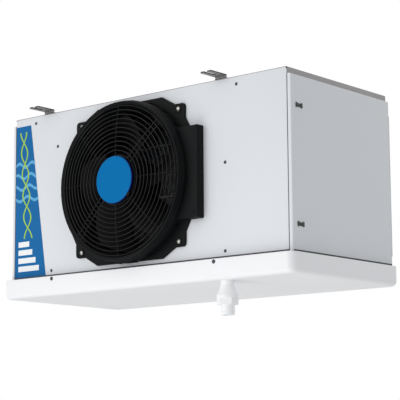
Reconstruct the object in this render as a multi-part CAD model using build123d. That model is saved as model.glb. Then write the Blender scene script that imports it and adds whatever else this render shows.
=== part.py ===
"""Ceiling-hung walk-in unit cooler: one axial fan, finned coil, hinged drain pan and side covers.

Millimetres, +Z up.  X runs along the casing, Y from the fan side (front) to the coil side (rear).
The origin is the centre of the hanging pattern: on the fan axis in X, midway between the front and
rear fork slots in Y, and at the ceiling plane, which is the top face of the hanging rails, in Z.
"""
import os
from math import cos, radians, sin

from build123d import *

# ---- driving dimensions -------------------------------------------------------------------------
SHEET = 1.5            # casing sheet metal
GAP = 0.4              # clearance between bodies that move past each other
FRONT_Y = -206.0       # outer face of the fan panel
BACK_Y = 206.0         # outer face of the rear frame
LEFT_X = -412.0        # left end of the fan panel
RIGHT_X = 485.0        # right end of the fan panel
HANG = 10.0            # ceiling plane to the top of the casing
TOP_Z = -HANG
PAN_TOP_Z = -440.0     # upper edge of the drain pan
SKIRT_Z = -452.0       # lower edge of the casing, inside the pan

COVER_DEPTH = 12.0     # side covers stand this far outside the fan panel
COVER_TOP_Z = TOP_Z - 17.0
COVER_BOTTOM_Z = PAN_TOP_Z + 1.0
COVER_BACK_Y = 202.0
COVER_PIN_R = 2.0
COVER_PIN_Y = 197.0
COVER_PIN_OUT = 7.0    # hinge pin axis beyond the end of the fan panel
COVER_SCREW_Y = FRONT_Y + 30.0
COVER_SCREW_Z = (-99.0, -375.0)

PAN_WALL = 3.0
PAN_DEPTH = 50.0
PAN_FRONT_Y = FRONT_Y - 19.0
PAN_BACK_Y = 212.0
PAN_SIDE = 24.0        # pan beyond the fan panel at each end
PAN_PIN_R = 3.0
PAN_PIN_Y = PAN_BACK_Y + 6.0
PAN_PIN_Z = PAN_TOP_Z - 6.0
PAN_HINGE_X = (-300.0, 330.0)
PAN_SCREW_X = (-256.0, 280.0)
DRAIN_X = 296.0
DRAIN_Y = -194.0

FAN_Z = -226.0         # fan axis height; the axis is at X = 0
FAN_OPENING_R = 186.0
NOZZLE_R = 178.0
RIM_R = 201.0
RIM_OUT = 47.0         # rim beyond the fan panel
EAR_PITCH = 162.0      # half the square of the four fan screws
PLATE_T = 6.0
HUB_R = 58.0
SHAFT_R = 8.0
RUNNING = 0.05         # radial clearance of every running fit
BLADES = 5
BLADE_TIP_R = 172.0
BLADE_T = 3.2
BLADE_STEPS = 4
BLADE_Y = FRONT_Y + 14.0
BLADE_SECTIONS = (     # radius, sweep angle, pitch angle, chord
    (HUB_R - 4, 0, 44, 78),
    (95, 3, 36, 96),
    (135, 12, 29, 112),
    (BLADE_TIP_R + 4, 28, 24, 118),
)

RING_FIRST_R = 73.0
RING_PITCH = 11.3
RING_COUNT = 11
WIRE = 3.0
GUARD_EDGE_OUT = 47.0  # front of the outermost ring beyond the fan panel
GUARD_RISE = 11.0
RIB_TIP_R = 188.0
CAP_BACK_OUT = 56.0
RIB_BACK_OUT = GUARD_EDGE_OUT - 2 * WIRE
GUARD_BOSS_ANGLES = (45, 135, 225, 315)

COIL_X = 338.0         # half the finned length
COIL_FRONT_Y = 14.0
COIL_BACK_Y = 190.0
COIL_TOP_Z = -20.0
COIL_BOTTOM_Z = -436.0
FIN_PITCH = 8.0
FIN_T = 0.6
TUBE_R = 6.0
TUBE_SIDES = 8         # coil tubes are prisms, which keeps the hidden coil light
TUBE_ROWS = 6
BEND_STEPS = 4
TUBE_ROW_PITCH = 66.0
TUBE_COLUMNS = (36.0, 80.0, 124.0, 168.0)
TUBE_TOP_Z = -61.0

RAIL_X = 290.0
RAIL_WIDTH = 34.0
RAIL_T = 3.0
RAIL_OUT = 56.0        # fork beyond the casing
FORK_SLOT = 9.5
FORK_SLOT_LENGTH = 36.0


# ---- helpers ------------------------------------------------------------------------------------
def block(x0, x1, y0, y1, z0, z1):
    """A box between two corners."""
    size = (x1 - x0, y1 - y0, z1 - z0)
    return Pos((x0 + x1) / 2, (y0 + y1) / 2, (z0 + z1) / 2) * Box(*size)


def rod_x(radius, y, z, x0, x1):
    """A round bar along X."""
    return Pos((x0 + x1) / 2, y, z) * Rot(0, 90, 0) * Cylinder(radius, x1 - x0)


def rod_y(radius, x, z, y0, y1):
    """A round bar along Y."""
    return Pos(x, (y0 + y1) / 2, z) * Rot(90, 0, 0) * Cylinder(radius, y1 - y0)


def rod_z(radius, x, y, z0, z1):
    """A round bar along Z."""
    return Pos(x, y, (z0 + z1) / 2) * Cylinder(radius, z1 - z0)


def tube_x(y, z, x0, x1):
    """A coil tube along X, drawn as a prism."""
    plane = Plane(origin=(min(x0, x1), y, z), x_dir=(0, 1, 0), z_dir=(1, 0, 0))
    return extrude(plane * RegularPolygon(TUBE_R, TUBE_SIDES), abs(x1 - x0))


def bent_tube(points, radius, sides):
    """A thin tube along a polyline, mitred at its corners."""
    path = Polyline(*points)
    section = Plane(origin=path @ 0, z_dir=path % 0) * RegularPolygon(radius, sides)
    return sweep(section, path=path, transition=Transition.RIGHT)


def screw_head(radius, height):
    """Round screw head that stands on the XY plane."""
    return Pos(0, 0, height / 2) * Cylinder(radius, height)


def fan_outline(points, y0, y1):
    """Extrude a closed outline, given from the fan centre in X and Z, between two Y planes."""
    plane = Plane(origin=(0, y1, FAN_Z), x_dir=(1, 0, 0), z_dir=(0, -1, 0))
    return extrude(plane * make_face(Polyline(*points, close=True)), y1 - y0)


def dome_y(radius):
    """Front of the guard at a radius: flat over the motor, falling back to the outermost ring."""
    reach = (radius - RING_FIRST_R) / (RING_PITCH * (RING_COUNT - 1))
    reach = min(max(reach, 0.0), 1.0)
    return FRONT_Y - GUARD_EDGE_OUT - GUARD_RISE * (1 - reach**2)


def save(shape, node):
    """Write one node; a list becomes a compound of separate solids."""
    if isinstance(shape, (list, tuple)):
        shape = Compound(children=list(shape))
    export_step(shape, f"parts/{node}.step")


# ---- casing -------------------------------------------------------------------------------------
def front_panel():
    """Fan panel with a return on each edge and the round fan opening."""
    face = block(LEFT_X, RIGHT_X, FRONT_Y, FRONT_Y + SHEET, SKIRT_Z, TOP_Z)
    inner = FRONT_Y + SHEET
    top = block(LEFT_X + 4, RIGHT_X - 4, inner, inner + 18, TOP_Z - 2 * SHEET, TOP_Z - SHEET)
    bottom = block(LEFT_X + 4, RIGHT_X - 4, inner, inner + 14, SKIRT_Z, SKIRT_Z + SHEET)
    left = block(LEFT_X + SHEET, LEFT_X + 2 * SHEET, inner, inner + 38, SKIRT_Z, TOP_Z - 2 * SHEET)
    right = block(RIGHT_X - 2 * SHEET, RIGHT_X - SHEET, inner, inner + 38, SKIRT_Z, TOP_Z - 2 * SHEET)
    opening = rod_y(FAN_OPENING_R, 0, FAN_Z, FRONT_Y - 1, FRONT_Y + SHEET + 1)
    return face + top + bottom + left + right - opening


def top_cover():
    """Top sheet with a flange down each end, seen above the side covers."""
    y0 = FRONT_Y + SHEET
    sheet = block(LEFT_X, RIGHT_X, y0, BACK_Y, TOP_Z - SHEET, TOP_Z)
    left = block(LEFT_X, LEFT_X + SHEET, y0, BACK_Y, TOP_Z - 34, TOP_Z - SHEET)
    right = block(RIGHT_X - SHEET, RIGHT_X, y0, BACK_Y, TOP_Z - 34, TOP_Z - SHEET)
    return sheet + left + right


def tube_plate(side):
    """Coil end plate with a hole for every tube and a stiffening return at the rear."""
    x0 = side * COIL_X
    x1 = x0 + side * SHEET
    low, high = min(x0, x1), max(x0, x1)
    y0 = FRONT_Y + 30
    y1 = BACK_Y - SHEET
    plate = block(low, high, y0, y1, SKIRT_Z, TOP_Z - 2 * SHEET)
    far = x0 + side * 20
    plate += block(min(x0, far), max(x0, far), y1 - SHEET, y1, SKIRT_Z, TOP_Z - 2 * SHEET)
    for y in TUBE_COLUMNS:
        for z in tube_heights():
            plate -= tube_x(y, z, low - 1, high + 1)
    return plate


def rear_strip(z0, z1):
    """Plain strip of the rear frame across the coil."""
    x = COIL_X - GAP
    return block(-x, x, BACK_Y - SHEET, BACK_Y, z0, z1)


def rear_closure(end, side):
    """Sheet that closes an end compartment at the rear, with a return for the cover's hinge."""
    x0 = side * (COIL_X + 0.2)
    inner = end - side * SHEET
    closure = block(min(x0, inner), max(x0, inner), BACK_Y - SHEET, BACK_Y, SKIRT_Z, TOP_Z - SHEET)
    closure += block(min(inner, end), max(inner, end), 176, BACK_Y, SKIRT_Z, TOP_Z - 34 - GAP)
    if side > 0:
        closure -= rod_y(SUCTION_R + 1, HEADER_X, SUCTION_Z - 13, 200, 210)
        closure -= rod_y(LIQUID_R + 1, LEAD_X + 40, FAN_Z, 200, 210)
    return closure


def rail_profile():
    """Side view of a hanging rail: a flat base on the casing, stepped up to a fork at each end."""
    base = -HANG + RAIL_T
    inner = BACK_Y - RAIL_T
    tip = BACK_Y + RAIL_OUT
    upper = [(-tip, 0), (-inner, 0), (-inner, base), (inner, base), (inner, 0), (tip, 0)]
    lower = [(tip, -RAIL_T), (BACK_Y, -RAIL_T), (BACK_Y, -HANG)]
    lower += [(-y, z) for y, z in reversed(lower)]
    return upper + lower


def hanging_rail(side):
    """Galvanised rail along the depth of the casing with an open fork slot at each end."""
    plane = Plane(origin=(side * RAIL_X - RAIL_WIDTH / 2, 0, 0), x_dir=(0, 1, 0), z_dir=(1, 0, 0))
    rail = extrude(plane * make_face(Polyline(*rail_profile(), close=True)), RAIL_WIDTH)
    tip = BACK_Y + RAIL_OUT
    x = side * RAIL_X
    half = FORK_SLOT / 2
    for end in (-1, 1):
        root = end * (tip - FORK_SLOT_LENGTH + half)
        mouth = end * (tip + 1)
        rail -= block(x - half, x + half, min(root, mouth), max(root, mouth), -RAIL_T - 1, 1)
        rail -= rod_z(half, x, root, -RAIL_T - 1, 1)
    corners = [edge for edge in rail.edges().filter_by(Axis.Z) if abs(edge.center().Y) > tip - 1]
    return fillet(corners, 4.0)


def rail_bolts():
    """Four hexagon-headed bolts that hold the rails on the casing."""
    bolts = []
    for side in (-1, 1):
        for y in (-150, 150):
            base = Plane((side * RAIL_X, y, TOP_Z + RAIL_T))
            bolts.append(extrude(base * RegularPolygon(6.5, 6, major_radius=False), 3.2))
    return bolts


# ---- coil ---------------------------------------------------------------------------------------
def tube_heights():
    """Heights of the tube rows, from the top down."""
    return [TUBE_TOP_Z - row * TUBE_ROW_PITCH for row in range(TUBE_ROWS)]


def coil_fins():
    """Thin upright fins, evenly spaced, seated between the coil's top and bottom plates."""
    count = int(2 * COIL_X / FIN_PITCH) + 1
    start = -FIN_PITCH * (count - 1) / 2 - FIN_T / 2
    fins = []
    for index in range(count):
        x = start + index * FIN_PITCH
        fins.append(block(x, x + FIN_T, COIL_FRONT_Y, COIL_BACK_Y, COIL_BOTTOM_Z, COIL_TOP_Z))
    return fins


def coil_plates():
    """Folded plates above and below the fins, open towards them at neither face."""
    x = COIL_X
    top = block(-x, x, COIL_FRONT_Y, COIL_BACK_Y, COIL_TOP_Z, COIL_TOP_Z + SHEET)
    top += block(-x, x, COIL_BACK_Y, COIL_BACK_Y + SHEET, COIL_TOP_Z - 12, COIL_TOP_Z + SHEET)
    bottom = block(-x, x, COIL_FRONT_Y, COIL_BACK_Y, COIL_BOTTOM_Z - SHEET, COIL_BOTTOM_Z)
    bottom += block(-x, x, COIL_BACK_Y, COIL_BACK_Y + SHEET, COIL_BOTTOM_Z - SHEET, COIL_BOTTOM_Z + 12)
    return top, bottom


def coil_tubes():
    """Straight tubes through all fins, expanded into them."""
    return [tube_x(y, z, -COIL_X, COIL_X) for y in TUBE_COLUMNS for z in tube_heights()]


def return_bend(side, y0, y1, z):
    """U bend that joins two tubes of one row, from tube plate to tube plate."""
    radius = (y1 - y0) / 2
    middle = (y0 + y1) / 2
    reach = COIL_X + 14
    arc = []
    for step in range(BEND_STEPS + 1):
        angle = radians(180 * step / BEND_STEPS)
        arc.append((side * (reach + radius * sin(angle)), middle - radius * cos(angle), z))
    ends = (side * COIL_X, y0, z), (side * COIL_X, y1, z)
    return bent_tube([ends[0], *arc, ends[1]], TUBE_R, TUBE_SIDES)


def return_bends(side):
    """Return bends of one end: pairs of columns on the left, the middle pair on the right."""
    c = TUBE_COLUMNS
    pairs = [(c[0], c[1]), (c[2], c[3])] if side < 0 else [(c[1], c[2])]
    return [return_bend(side, y0, y1, z) for z in tube_heights() for y0, y1 in pairs]


HEADER_X = COIL_X + 46
HEADER_R = 14.0


def suction_header():
    """Vertical header that gathers the front column of tubes and leaves at the rear."""
    z0 = tube_heights()[-1] - 22
    z1 = tube_heights()[0] + 18
    y = TUBE_COLUMNS[0]
    header = rod_z(HEADER_R, HEADER_X, y, z0, z1)
    for z in tube_heights():
        header += tube_x(y, z, COIL_X, HEADER_X)
    return header


SUCTION_Z = -405.0
SUCTION_R = 11.0
LIQUID_R = 6.0
LEAD_X = COIL_X + 86
LEAD_PITCH = 6.0
LEAD_R = 2.0
LEAD_SIDES = 6
LEAD_SPREAD = 20.0
STUB_OUT = 34.0
SUCTION_BELL = 26.0    # length of the widened end that takes the next pipe
LIQUID_BELL = 20.0


def suction_line():
    """Suction connection: from the header to the rear, its free end outside the rear closure."""
    z = SUCTION_Z - 13
    bell_y = BACK_Y + STUB_OUT - SUCTION_BELL
    line = rod_y(SUCTION_R, HEADER_X, z, TUBE_COLUMNS[0], bell_y)
    line += rod_y(SUCTION_R + 1.2, HEADER_X, z, bell_y, BACK_Y + STUB_OUT)
    return line - rod_z(HEADER_R, HEADER_X, TUBE_COLUMNS[0], z - 40, z + 40)


def distributor():
    """Conical liquid distributor, facing the coil, with its feed line to the rear."""
    y, z = TUBE_COLUMNS[3], FAN_Z
    cap = rod_x(LEAD_SPREAD, y, z, LEAD_X, LEAD_X + 6)
    cone = Pos(LEAD_X + 18, y, z) * Rot(0, 90, 0) * Cone(LEAD_SPREAD, 8, 24)
    bell_y = BACK_Y + STUB_OUT - LIQUID_BELL
    turn_x = LEAD_X + 40
    feed = bent_tube([(LEAD_X + 29, y, z), (turn_x, y, z), (turn_x, bell_y, z)], LIQUID_R, TUBE_SIDES)
    bell = rod_y(LIQUID_R + 1, turn_x, z, bell_y, BACK_Y + STUB_OUT)
    return cap + cone + feed + bell


def distributor_leads():
    """One thin lead from the distributor to the tube end of each row, and those tube ends."""
    y = TUBE_COLUMNS[3]
    pieces = []
    for index, z in enumerate(tube_heights()):
        z0 = FAN_Z + LEAD_PITCH * ((TUBE_ROWS - 1) / 2 - index)
        stub_x = COIL_X + 14
        route = [(LEAD_X, y, z0), (LEAD_X - 12, y, z0), (stub_x + 12, y, z), (stub_x, y, z)]
        pieces.append(bent_tube(route, LEAD_R, LEAD_SIDES))
        pieces.append(tube_x(y, z, COIL_X, stub_x))
    return pieces


def coil_heaters():
    """Three straight defrost rods across the front of the coil."""
    return [rod_x(4.0, COIL_FRONT_Y - 5, z, -COIL_X, COIL_X) for z in (-90, -228, -366)]


# ---- drain pan ----------------------------------------------------------------------------------
def drain_pan():
    """Moulded pan: rounded lower edges and corners, open above, with the drain hole."""
    x0, x1 = LEFT_X - PAN_SIDE, RIGHT_X + PAN_SIDE
    z0 = PAN_TOP_Z - PAN_DEPTH
    outer = block(x0, x1, PAN_FRONT_Y, PAN_BACK_Y, z0, PAN_TOP_Z)
    outer = fillet(outer.edges().filter_by(Axis.Z), 12.0)
    outer = fillet(outer.faces().sort_by(Axis.Z)[0].edges(), 10.0)
    w = PAN_WALL
    inner = block(x0 + w, x1 - w, PAN_FRONT_Y + w, PAN_BACK_Y - w, z0 + w, PAN_TOP_Z)
    inner = fillet(inner.edges().filter_by(Axis.Z), 12.0 - w)
    inner = fillet(inner.faces().sort_by(Axis.Z)[0].edges(), 10.0 - w)
    hole = rod_z(16.0, DRAIN_X, DRAIN_Y, z0 - 1, z0 + w + 1)
    return outer - inner - hole


def drain_spigot():
    """Drain outlet: flange in the pan, pipe through the floor and a threaded end."""
    z = PAN_TOP_Z - PAN_DEPTH
    flange = rod_z(20.0, DRAIN_X, DRAIN_Y, z + PAN_WALL, z + PAN_WALL + 2.5)
    pipe = rod_z(16.0, DRAIN_X, DRAIN_Y, z - 57, z + PAN_WALL)
    thread = rod_z(17.3, DRAIN_X, DRAIN_Y, z - 81, z - 57)
    bore = rod_z(12.5, DRAIN_X, DRAIN_Y, z - 82, z + PAN_WALL + 4)
    return flange + pipe + thread - bore


def drain_nut():
    """Coupling nut: a flared skirt above a hexagon."""
    z = PAN_TOP_Z - PAN_DEPTH
    skirt = Pos(DRAIN_X, DRAIN_Y, z - 25.5) * Cone(25.0, 17.5, 24)
    base = Plane((DRAIN_X, DRAIN_Y, z - 57))
    hexagon = extrude(base * RegularPolygon(22.5, 6, major_radius=False), 19.5)
    hole = rod_z(16.0, DRAIN_X, DRAIN_Y, z - 60, z - 10)
    return skirt + hexagon - hole


def pan_heater():
    """Hairpin heater lying on supports above the pan's floor."""
    z = PAN_TOP_Z - PAN_DEPTH + PAN_WALL + 4
    legs = [rod_x(4.0, y, z, -330, 400) for y in (-60, 60)]
    loop = rod_y(4.0, -330, z, -60, 60)
    ends = [Pos(-330, y, z) * Sphere(4.0) for y in (-60, 60)]
    return legs[0] + legs[1] + loop + ends[0] + ends[1]


def pan_knuckles():
    """Hinge knuckles on the rear wall of the pan."""
    knuckles = []
    for x in PAN_HINGE_X:
        barrel = rod_x(5.6, PAN_PIN_Y, PAN_PIN_Z, x, x + 16)
        leaf = block(x, x + 16, PAN_BACK_Y, PAN_PIN_Y, PAN_PIN_Z - 14, PAN_PIN_Z)
        bore = rod_x(PAN_PIN_R + RUNNING, PAN_PIN_Y, PAN_PIN_Z, x - 1, x + 17)
        knuckles.append(barrel + leaf - bore)
    return knuckles


def pan_hinge_lugs():
    """Lugs on the rear frame, each with the pin that its knuckle turns on."""
    lugs = []
    for x in PAN_HINGE_X:
        x0, x1 = x - 5 - GAP, x - GAP
        arm = block(x0, x1, BACK_Y, PAN_PIN_Y + 5, PAN_PIN_Z + 9, PAN_PIN_Z + 24)
        leg = block(x0, x1, PAN_PIN_Y - 4.8, PAN_PIN_Y + 5, PAN_PIN_Z, PAN_PIN_Z + 9)
        eye = rod_x(4.9, PAN_PIN_Y, PAN_PIN_Z, x0, x1)
        pin = rod_x(PAN_PIN_R, PAN_PIN_Y, PAN_PIN_Z, x0, x + 18)
        lugs.append(arm + leg + eye + pin)
    return lugs


def pan_screws():
    """Pan-head screws through the front wall of the pan."""
    screws = []
    for x in PAN_SCREW_X:
        screws.append(Pos(x, PAN_FRONT_Y, PAN_TOP_Z - 7) * Rot(90, 0, 0) * screw_head(5.0, 2.0))
    return screws


# ---- side covers --------------------------------------------------------------------------------
def side_cover(end, side):
    """Shallow tray over an end compartment, with the ears that turn on the hinge pins."""
    inner = end + side * GAP
    outer = end + side * COVER_DEPTH
    wall = outer - side * SHEET
    lip = outer - side * 8.0

    def span(a, b, y0, y1, z0, z1):
        return block(min(a, b), max(a, b), y0, y1, z0, z1)

    front_in = FRONT_Y + SHEET
    back_in = COVER_BACK_Y - SHEET
    tray = span(wall, outer, FRONT_Y, COVER_BACK_Y, COVER_BOTTOM_Z, COVER_TOP_Z)
    tray += span(inner, outer, FRONT_Y, front_in, COVER_BOTTOM_Z, COVER_TOP_Z)
    tray += span(inner, outer, FRONT_Y, COVER_PIN_Y - 1, COVER_TOP_Z - SHEET, COVER_TOP_Z)
    tray += span(inner, outer, FRONT_Y, COVER_PIN_Y - 1, COVER_BOTTOM_Z, COVER_BOTTOM_Z + SHEET)
    tray += span(lip, outer, back_in, COVER_BACK_Y, COVER_BOTTOM_Z + 24, COVER_TOP_Z - 38)
    pin_x = end + side * COVER_PIN_OUT
    for z in cover_ear_heights():
        ear = rod_z(3.2, pin_x, COVER_PIN_Y, z, z + 3)
        ear += span(pin_x, wall, COVER_PIN_Y - 3.2, COVER_PIN_Y + 3.2, z, z + 3)
        ear -= rod_z(COVER_PIN_R + RUNNING, pin_x, COVER_PIN_Y, z - 1, z + 4)
        tray += ear
    edges = [e for e in tray.edges().filter_by(Axis.Z) if abs(e.center().X - outer) < 0.01]
    front = [e for e in edges if e.center().Y < FRONT_Y + 1]
    return fillet(front, 1.4)


def cover_ear_heights():
    """Lower faces of the ears on a side cover."""
    return COVER_TOP_Z - 31.0, COVER_BOTTOM_Z + 14.0


def cover_hinge_lugs():
    """Fixed lugs with upright pins that carry the side covers."""
    lugs = []
    for end, side in ((LEFT_X, -1), (RIGHT_X, 1)):
        pin_x = end + side * COVER_PIN_OUT
        for z in cover_ear_heights():
            lug_z = z - 3 - GAP
            arm = block(min(end, pin_x), max(end, pin_x), COVER_PIN_Y - 3, COVER_PIN_Y + 2, lug_z, lug_z + 3)
            arm += rod_z(3.0, pin_x, COVER_PIN_Y, lug_z, lug_z + 3)
            lugs.append(arm + rod_z(COVER_PIN_R, pin_x, COVER_PIN_Y, lug_z, z + 6))
    return lugs


def cover_screws(end, side):
    """Two pan-head screws near the front edge of a side cover."""
    outer = end + side * COVER_DEPTH
    head = Rot(0, side * 90, 0) * screw_head(5.5, 2.4)
    return [Pos(outer, COVER_SCREW_Y, z) * head for z in COVER_SCREW_Z]


# ---- fan ----------------------------------------------------------------------------------------
def shroud_outline():
    """Plate outline from the fan centre: flats above and below, sloped sides and four square ears."""
    quarter = [(108, 199), (150, 175), (182, 175), (182, 139), (197, 112)]
    right_up = quarter
    right_down = [(x, -z) for x, z in reversed(quarter)]
    left_down = [(-x, -z) for x, z in quarter]
    left_up = [(-x, z) for x, z in reversed(quarter)]
    return right_up + right_down + left_down + left_up


def guard_boss(angle):
    """Boss inside the rim that the outer ring of the guard rests on."""
    outline = [(181, -19), (195, -13), (195, 13), (181, 19)]
    plane = Plane(origin=(0, FRONT_Y - 32, 0), x_dir=(1, 0, 0), z_dir=(0, -1, 0))
    boss = extrude(plane * make_face(Polyline(*outline, close=True)), RIB_BACK_OUT - 32)
    return Pos(0, 0, FAN_Z) * Rot(0, -angle, 0) * boss


def fan_shroud():
    """Moulded fan ring: screw plate, stepped rim outside and a nozzle through the panel."""
    plate = fan_outline(shroud_outline(), FRONT_Y - PLATE_T, FRONT_Y)
    corners = [e for e in plate.edges().filter_by(Axis.Y) if abs(abs(e.center().X) - 182) < 0.1]
    plate = fillet(corners, 9.0)
    tip = FRONT_Y - RIM_OUT
    back = FRONT_Y + 52
    profile = [
        (NOZZLE_R + 4, back), (NOZZLE_R, back), (NOZZLE_R, FRONT_Y - 18), (NOZZLE_R + 3, FRONT_Y - 30),
        (RIM_R - 6, tip), (RIM_R - 3, tip), (RIM_R - 3, tip + 7), (RIM_R, tip + 7), (RIM_R, FRONT_Y),
        (NOZZLE_R + 4, FRONT_Y),
    ]
    plane = Plane(origin=(0, 0, FAN_Z), x_dir=(1, 0, 0), z_dir=(0, 0, 1))
    ring = revolve(plane * make_face(Polyline(*profile, close=True)), Axis((0, 0, FAN_Z), (0, 1, 0)), 360)
    core = rod_y(RIM_R - 10, 0, FAN_Z, FRONT_Y - PLATE_T - 1, FRONT_Y + 1)
    shroud = plate - core + ring
    for angle in GUARD_BOSS_ANGLES:
        shroud += guard_boss(angle)
    return shroud


def shroud_screws():
    """Bright pan-head screws in the four ears."""
    head = Rot(90, 0, 0) * screw_head(5.5, 3.0)
    corners = [(x, z) for x in (-EAR_PITCH, EAR_PITCH) for z in (-EAR_PITCH, EAR_PITCH)]
    return [Pos(x, FRONT_Y - PLATE_T, FAN_Z + z) * head for x, z in corners]


def terminal_box():
    """Wiring housing beside the rim, between the right-hand ears."""
    outer = block(150, 236, FRONT_Y - 24, FRONT_Y, FAN_Z - 112, FAN_Z + 112)
    outer = fillet(outer.edges().filter_by(Axis.Z).sort_by(Axis.Y)[0:2], 3.0)
    keep = rod_y(RIM_R + 0.2, 0, FAN_Z, FRONT_Y - 30, FRONT_Y + 1)
    plate = fan_outline(shroud_outline(), FRONT_Y - PLATE_T - 0.2, FRONT_Y + 1)
    return outer - keep - plate


def guard_rib(angle, offset):
    """One wire of the guard from the motor flange to a boss, flat behind every ring it carries."""
    hub_y = dome_y(RING_FIRST_R) + WIRE
    front = [(HUB_R - 2, hub_y)]
    for radius in ring_radii():
        y = dome_y(radius) + WIRE
        front += [(radius - WIRE / 2, y), (radius + WIRE / 2, y)]
    back = [(r, dome_y(r) + 2 * WIRE) for r in (HUB_R - 2, *ring_radii()[::3], RIB_TIP_R)]
    front.append((RIB_TIP_R, front[-1][1]))
    plane = Plane(origin=(0, 0, offset - WIRE / 2), x_dir=(1, 0, 0), z_dir=(0, 0, 1))
    rib = extrude(plane * make_face(Polyline(*front, *reversed(back), close=True)), WIRE)
    return Pos(0, 0, FAN_Z) * Rot(0, -angle, 0) * rib


def ring_radii():
    """Middle radii of the guard's rings."""
    return [RING_FIRST_R + RING_PITCH * index for index in range(RING_COUNT)]


def fan_guard():
    """Wire guard: concentric rings, each welded on the radial wires behind it."""
    rings = []
    for radius in ring_radii():
        y = dome_y(radius)
        hoop = rod_y(radius + WIRE / 2, 0, FAN_Z, y, y + WIRE)
        rings.append(hoop - rod_y(radius - WIRE / 2, 0, FAN_Z, y - 1, y + WIRE + 1))
    ribs = [guard_rib(angle, 0) for angle in (0, 90, 135, 180, 270, 315)]
    ribs += [guard_rib(angle, offset) for angle in (45, 225) for offset in (-7, 7)]
    return rings + ribs


def motor_stator():
    """Fixed half of the motor: a can whose flange carries the guard's wires, with the shaft."""
    seat = dome_y(RING_FIRST_R) + 2 * WIRE
    can = rod_y(HUB_R - 4, 0, FAN_Z, FRONT_Y - CAP_BACK_OUT, FRONT_Y - 27)
    flange = rod_y(HUB_R + 6, 0, FAN_Z, seat, seat + 4)
    shaft = rod_y(SHAFT_R, 0, FAN_Z, FRONT_Y - 27, FRONT_Y + 62)
    return can + flange + shaft


def fan_cap():
    """Round cap over the middle of the guard."""
    cap = rod_y(HUB_R + 1, 0, FAN_Z, FRONT_Y - CAP_BACK_OUT - 6, FRONT_Y - CAP_BACK_OUT)
    return chamfer(cap.faces().sort_by(Axis.Y)[0].edges(), 1.0)


def rotor_hub():
    """Turning half of the motor with a bore for the shaft."""
    hub = rod_y(HUB_R, 0, FAN_Z, FRONT_Y - 25, FRONT_Y + 54)
    hub = chamfer(hub.faces().sort_by(Axis.Y)[-1].edges(), 6.0)
    return hub - rod_y(SHAFT_R + RUNNING, 0, FAN_Z, FRONT_Y - 30, FRONT_Y + 60)


def blade_section(chord):
    """Cambered blade section with sharp edges, thickest in the middle."""
    half = chord / 2
    camber = 0.07 * chord
    upper, lower = [], []
    for step in range(1, BLADE_STEPS):
        u = 2 * step / BLADE_STEPS - 1
        bow = 1 - u * u
        upper.append((u * half, (camber + BLADE_T / 2) * bow))
        lower.append((u * half, (camber - BLADE_T / 2) * bow))
    return make_face(Polyline((-half, 0), *upper, (half, 0), *reversed(lower), close=True))


def fan_blade(turn):
    """Sickle-shaped blade lofted through four sections and trimmed to hub and tip."""
    sections = []
    for radius, sweep_deg, pitch_deg, chord in BLADE_SECTIONS:
        angle = radians(turn + sweep_deg)
        radial = Vector(cos(angle), 0, sin(angle))
        tangent = Vector(-sin(angle), 0, cos(angle))
        pitch = radians(pitch_deg)
        along = tangent * cos(pitch) + Vector(0, 1, 0) * sin(pitch)
        origin = radial * radius + Vector(0, BLADE_Y, FAN_Z)
        sections.append(Plane(origin=origin, x_dir=along, z_dir=radial) * blade_section(chord))
    tip = rod_y(BLADE_TIP_R, 0, FAN_Z, BLADE_Y - 70, BLADE_Y + 70)
    hub = rod_y(HUB_R, 0, FAN_Z, BLADE_Y - 70, BLADE_Y + 70)
    return (loft(sections) & tip) - hub


def fan_blades():
    """All blades, seated on the hub that carries them."""
    return [fan_blade(360 / BLADES * index + 10) for index in range(BLADES)]


# ---- trim ---------------------------------------------------------------------------------------
def panel_rivets():
    """Small blind rivets on the fan panel."""
    places = [(-338, -29), (338, -29), (-256, -101), (302, -212), (-276, -423), (300, -423)]
    return [rod_y(3.2, x, z, FRONT_Y - 1.2, FRONT_Y) for x, z in places]


def front_label():
    """Plain decal plate at the left end of the fan panel, wider below than above."""
    left = LEFT_X + 1
    outline = [(left, -31), (-357, -31), (-296, -438), (left, -438)]
    plane = Plane(origin=(0, FRONT_Y, 0), x_dir=(1, 0, 0), z_dir=(0, -1, 0))
    return extrude(plane * make_face(Polyline(*outline, close=True)), 0.4)


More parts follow.
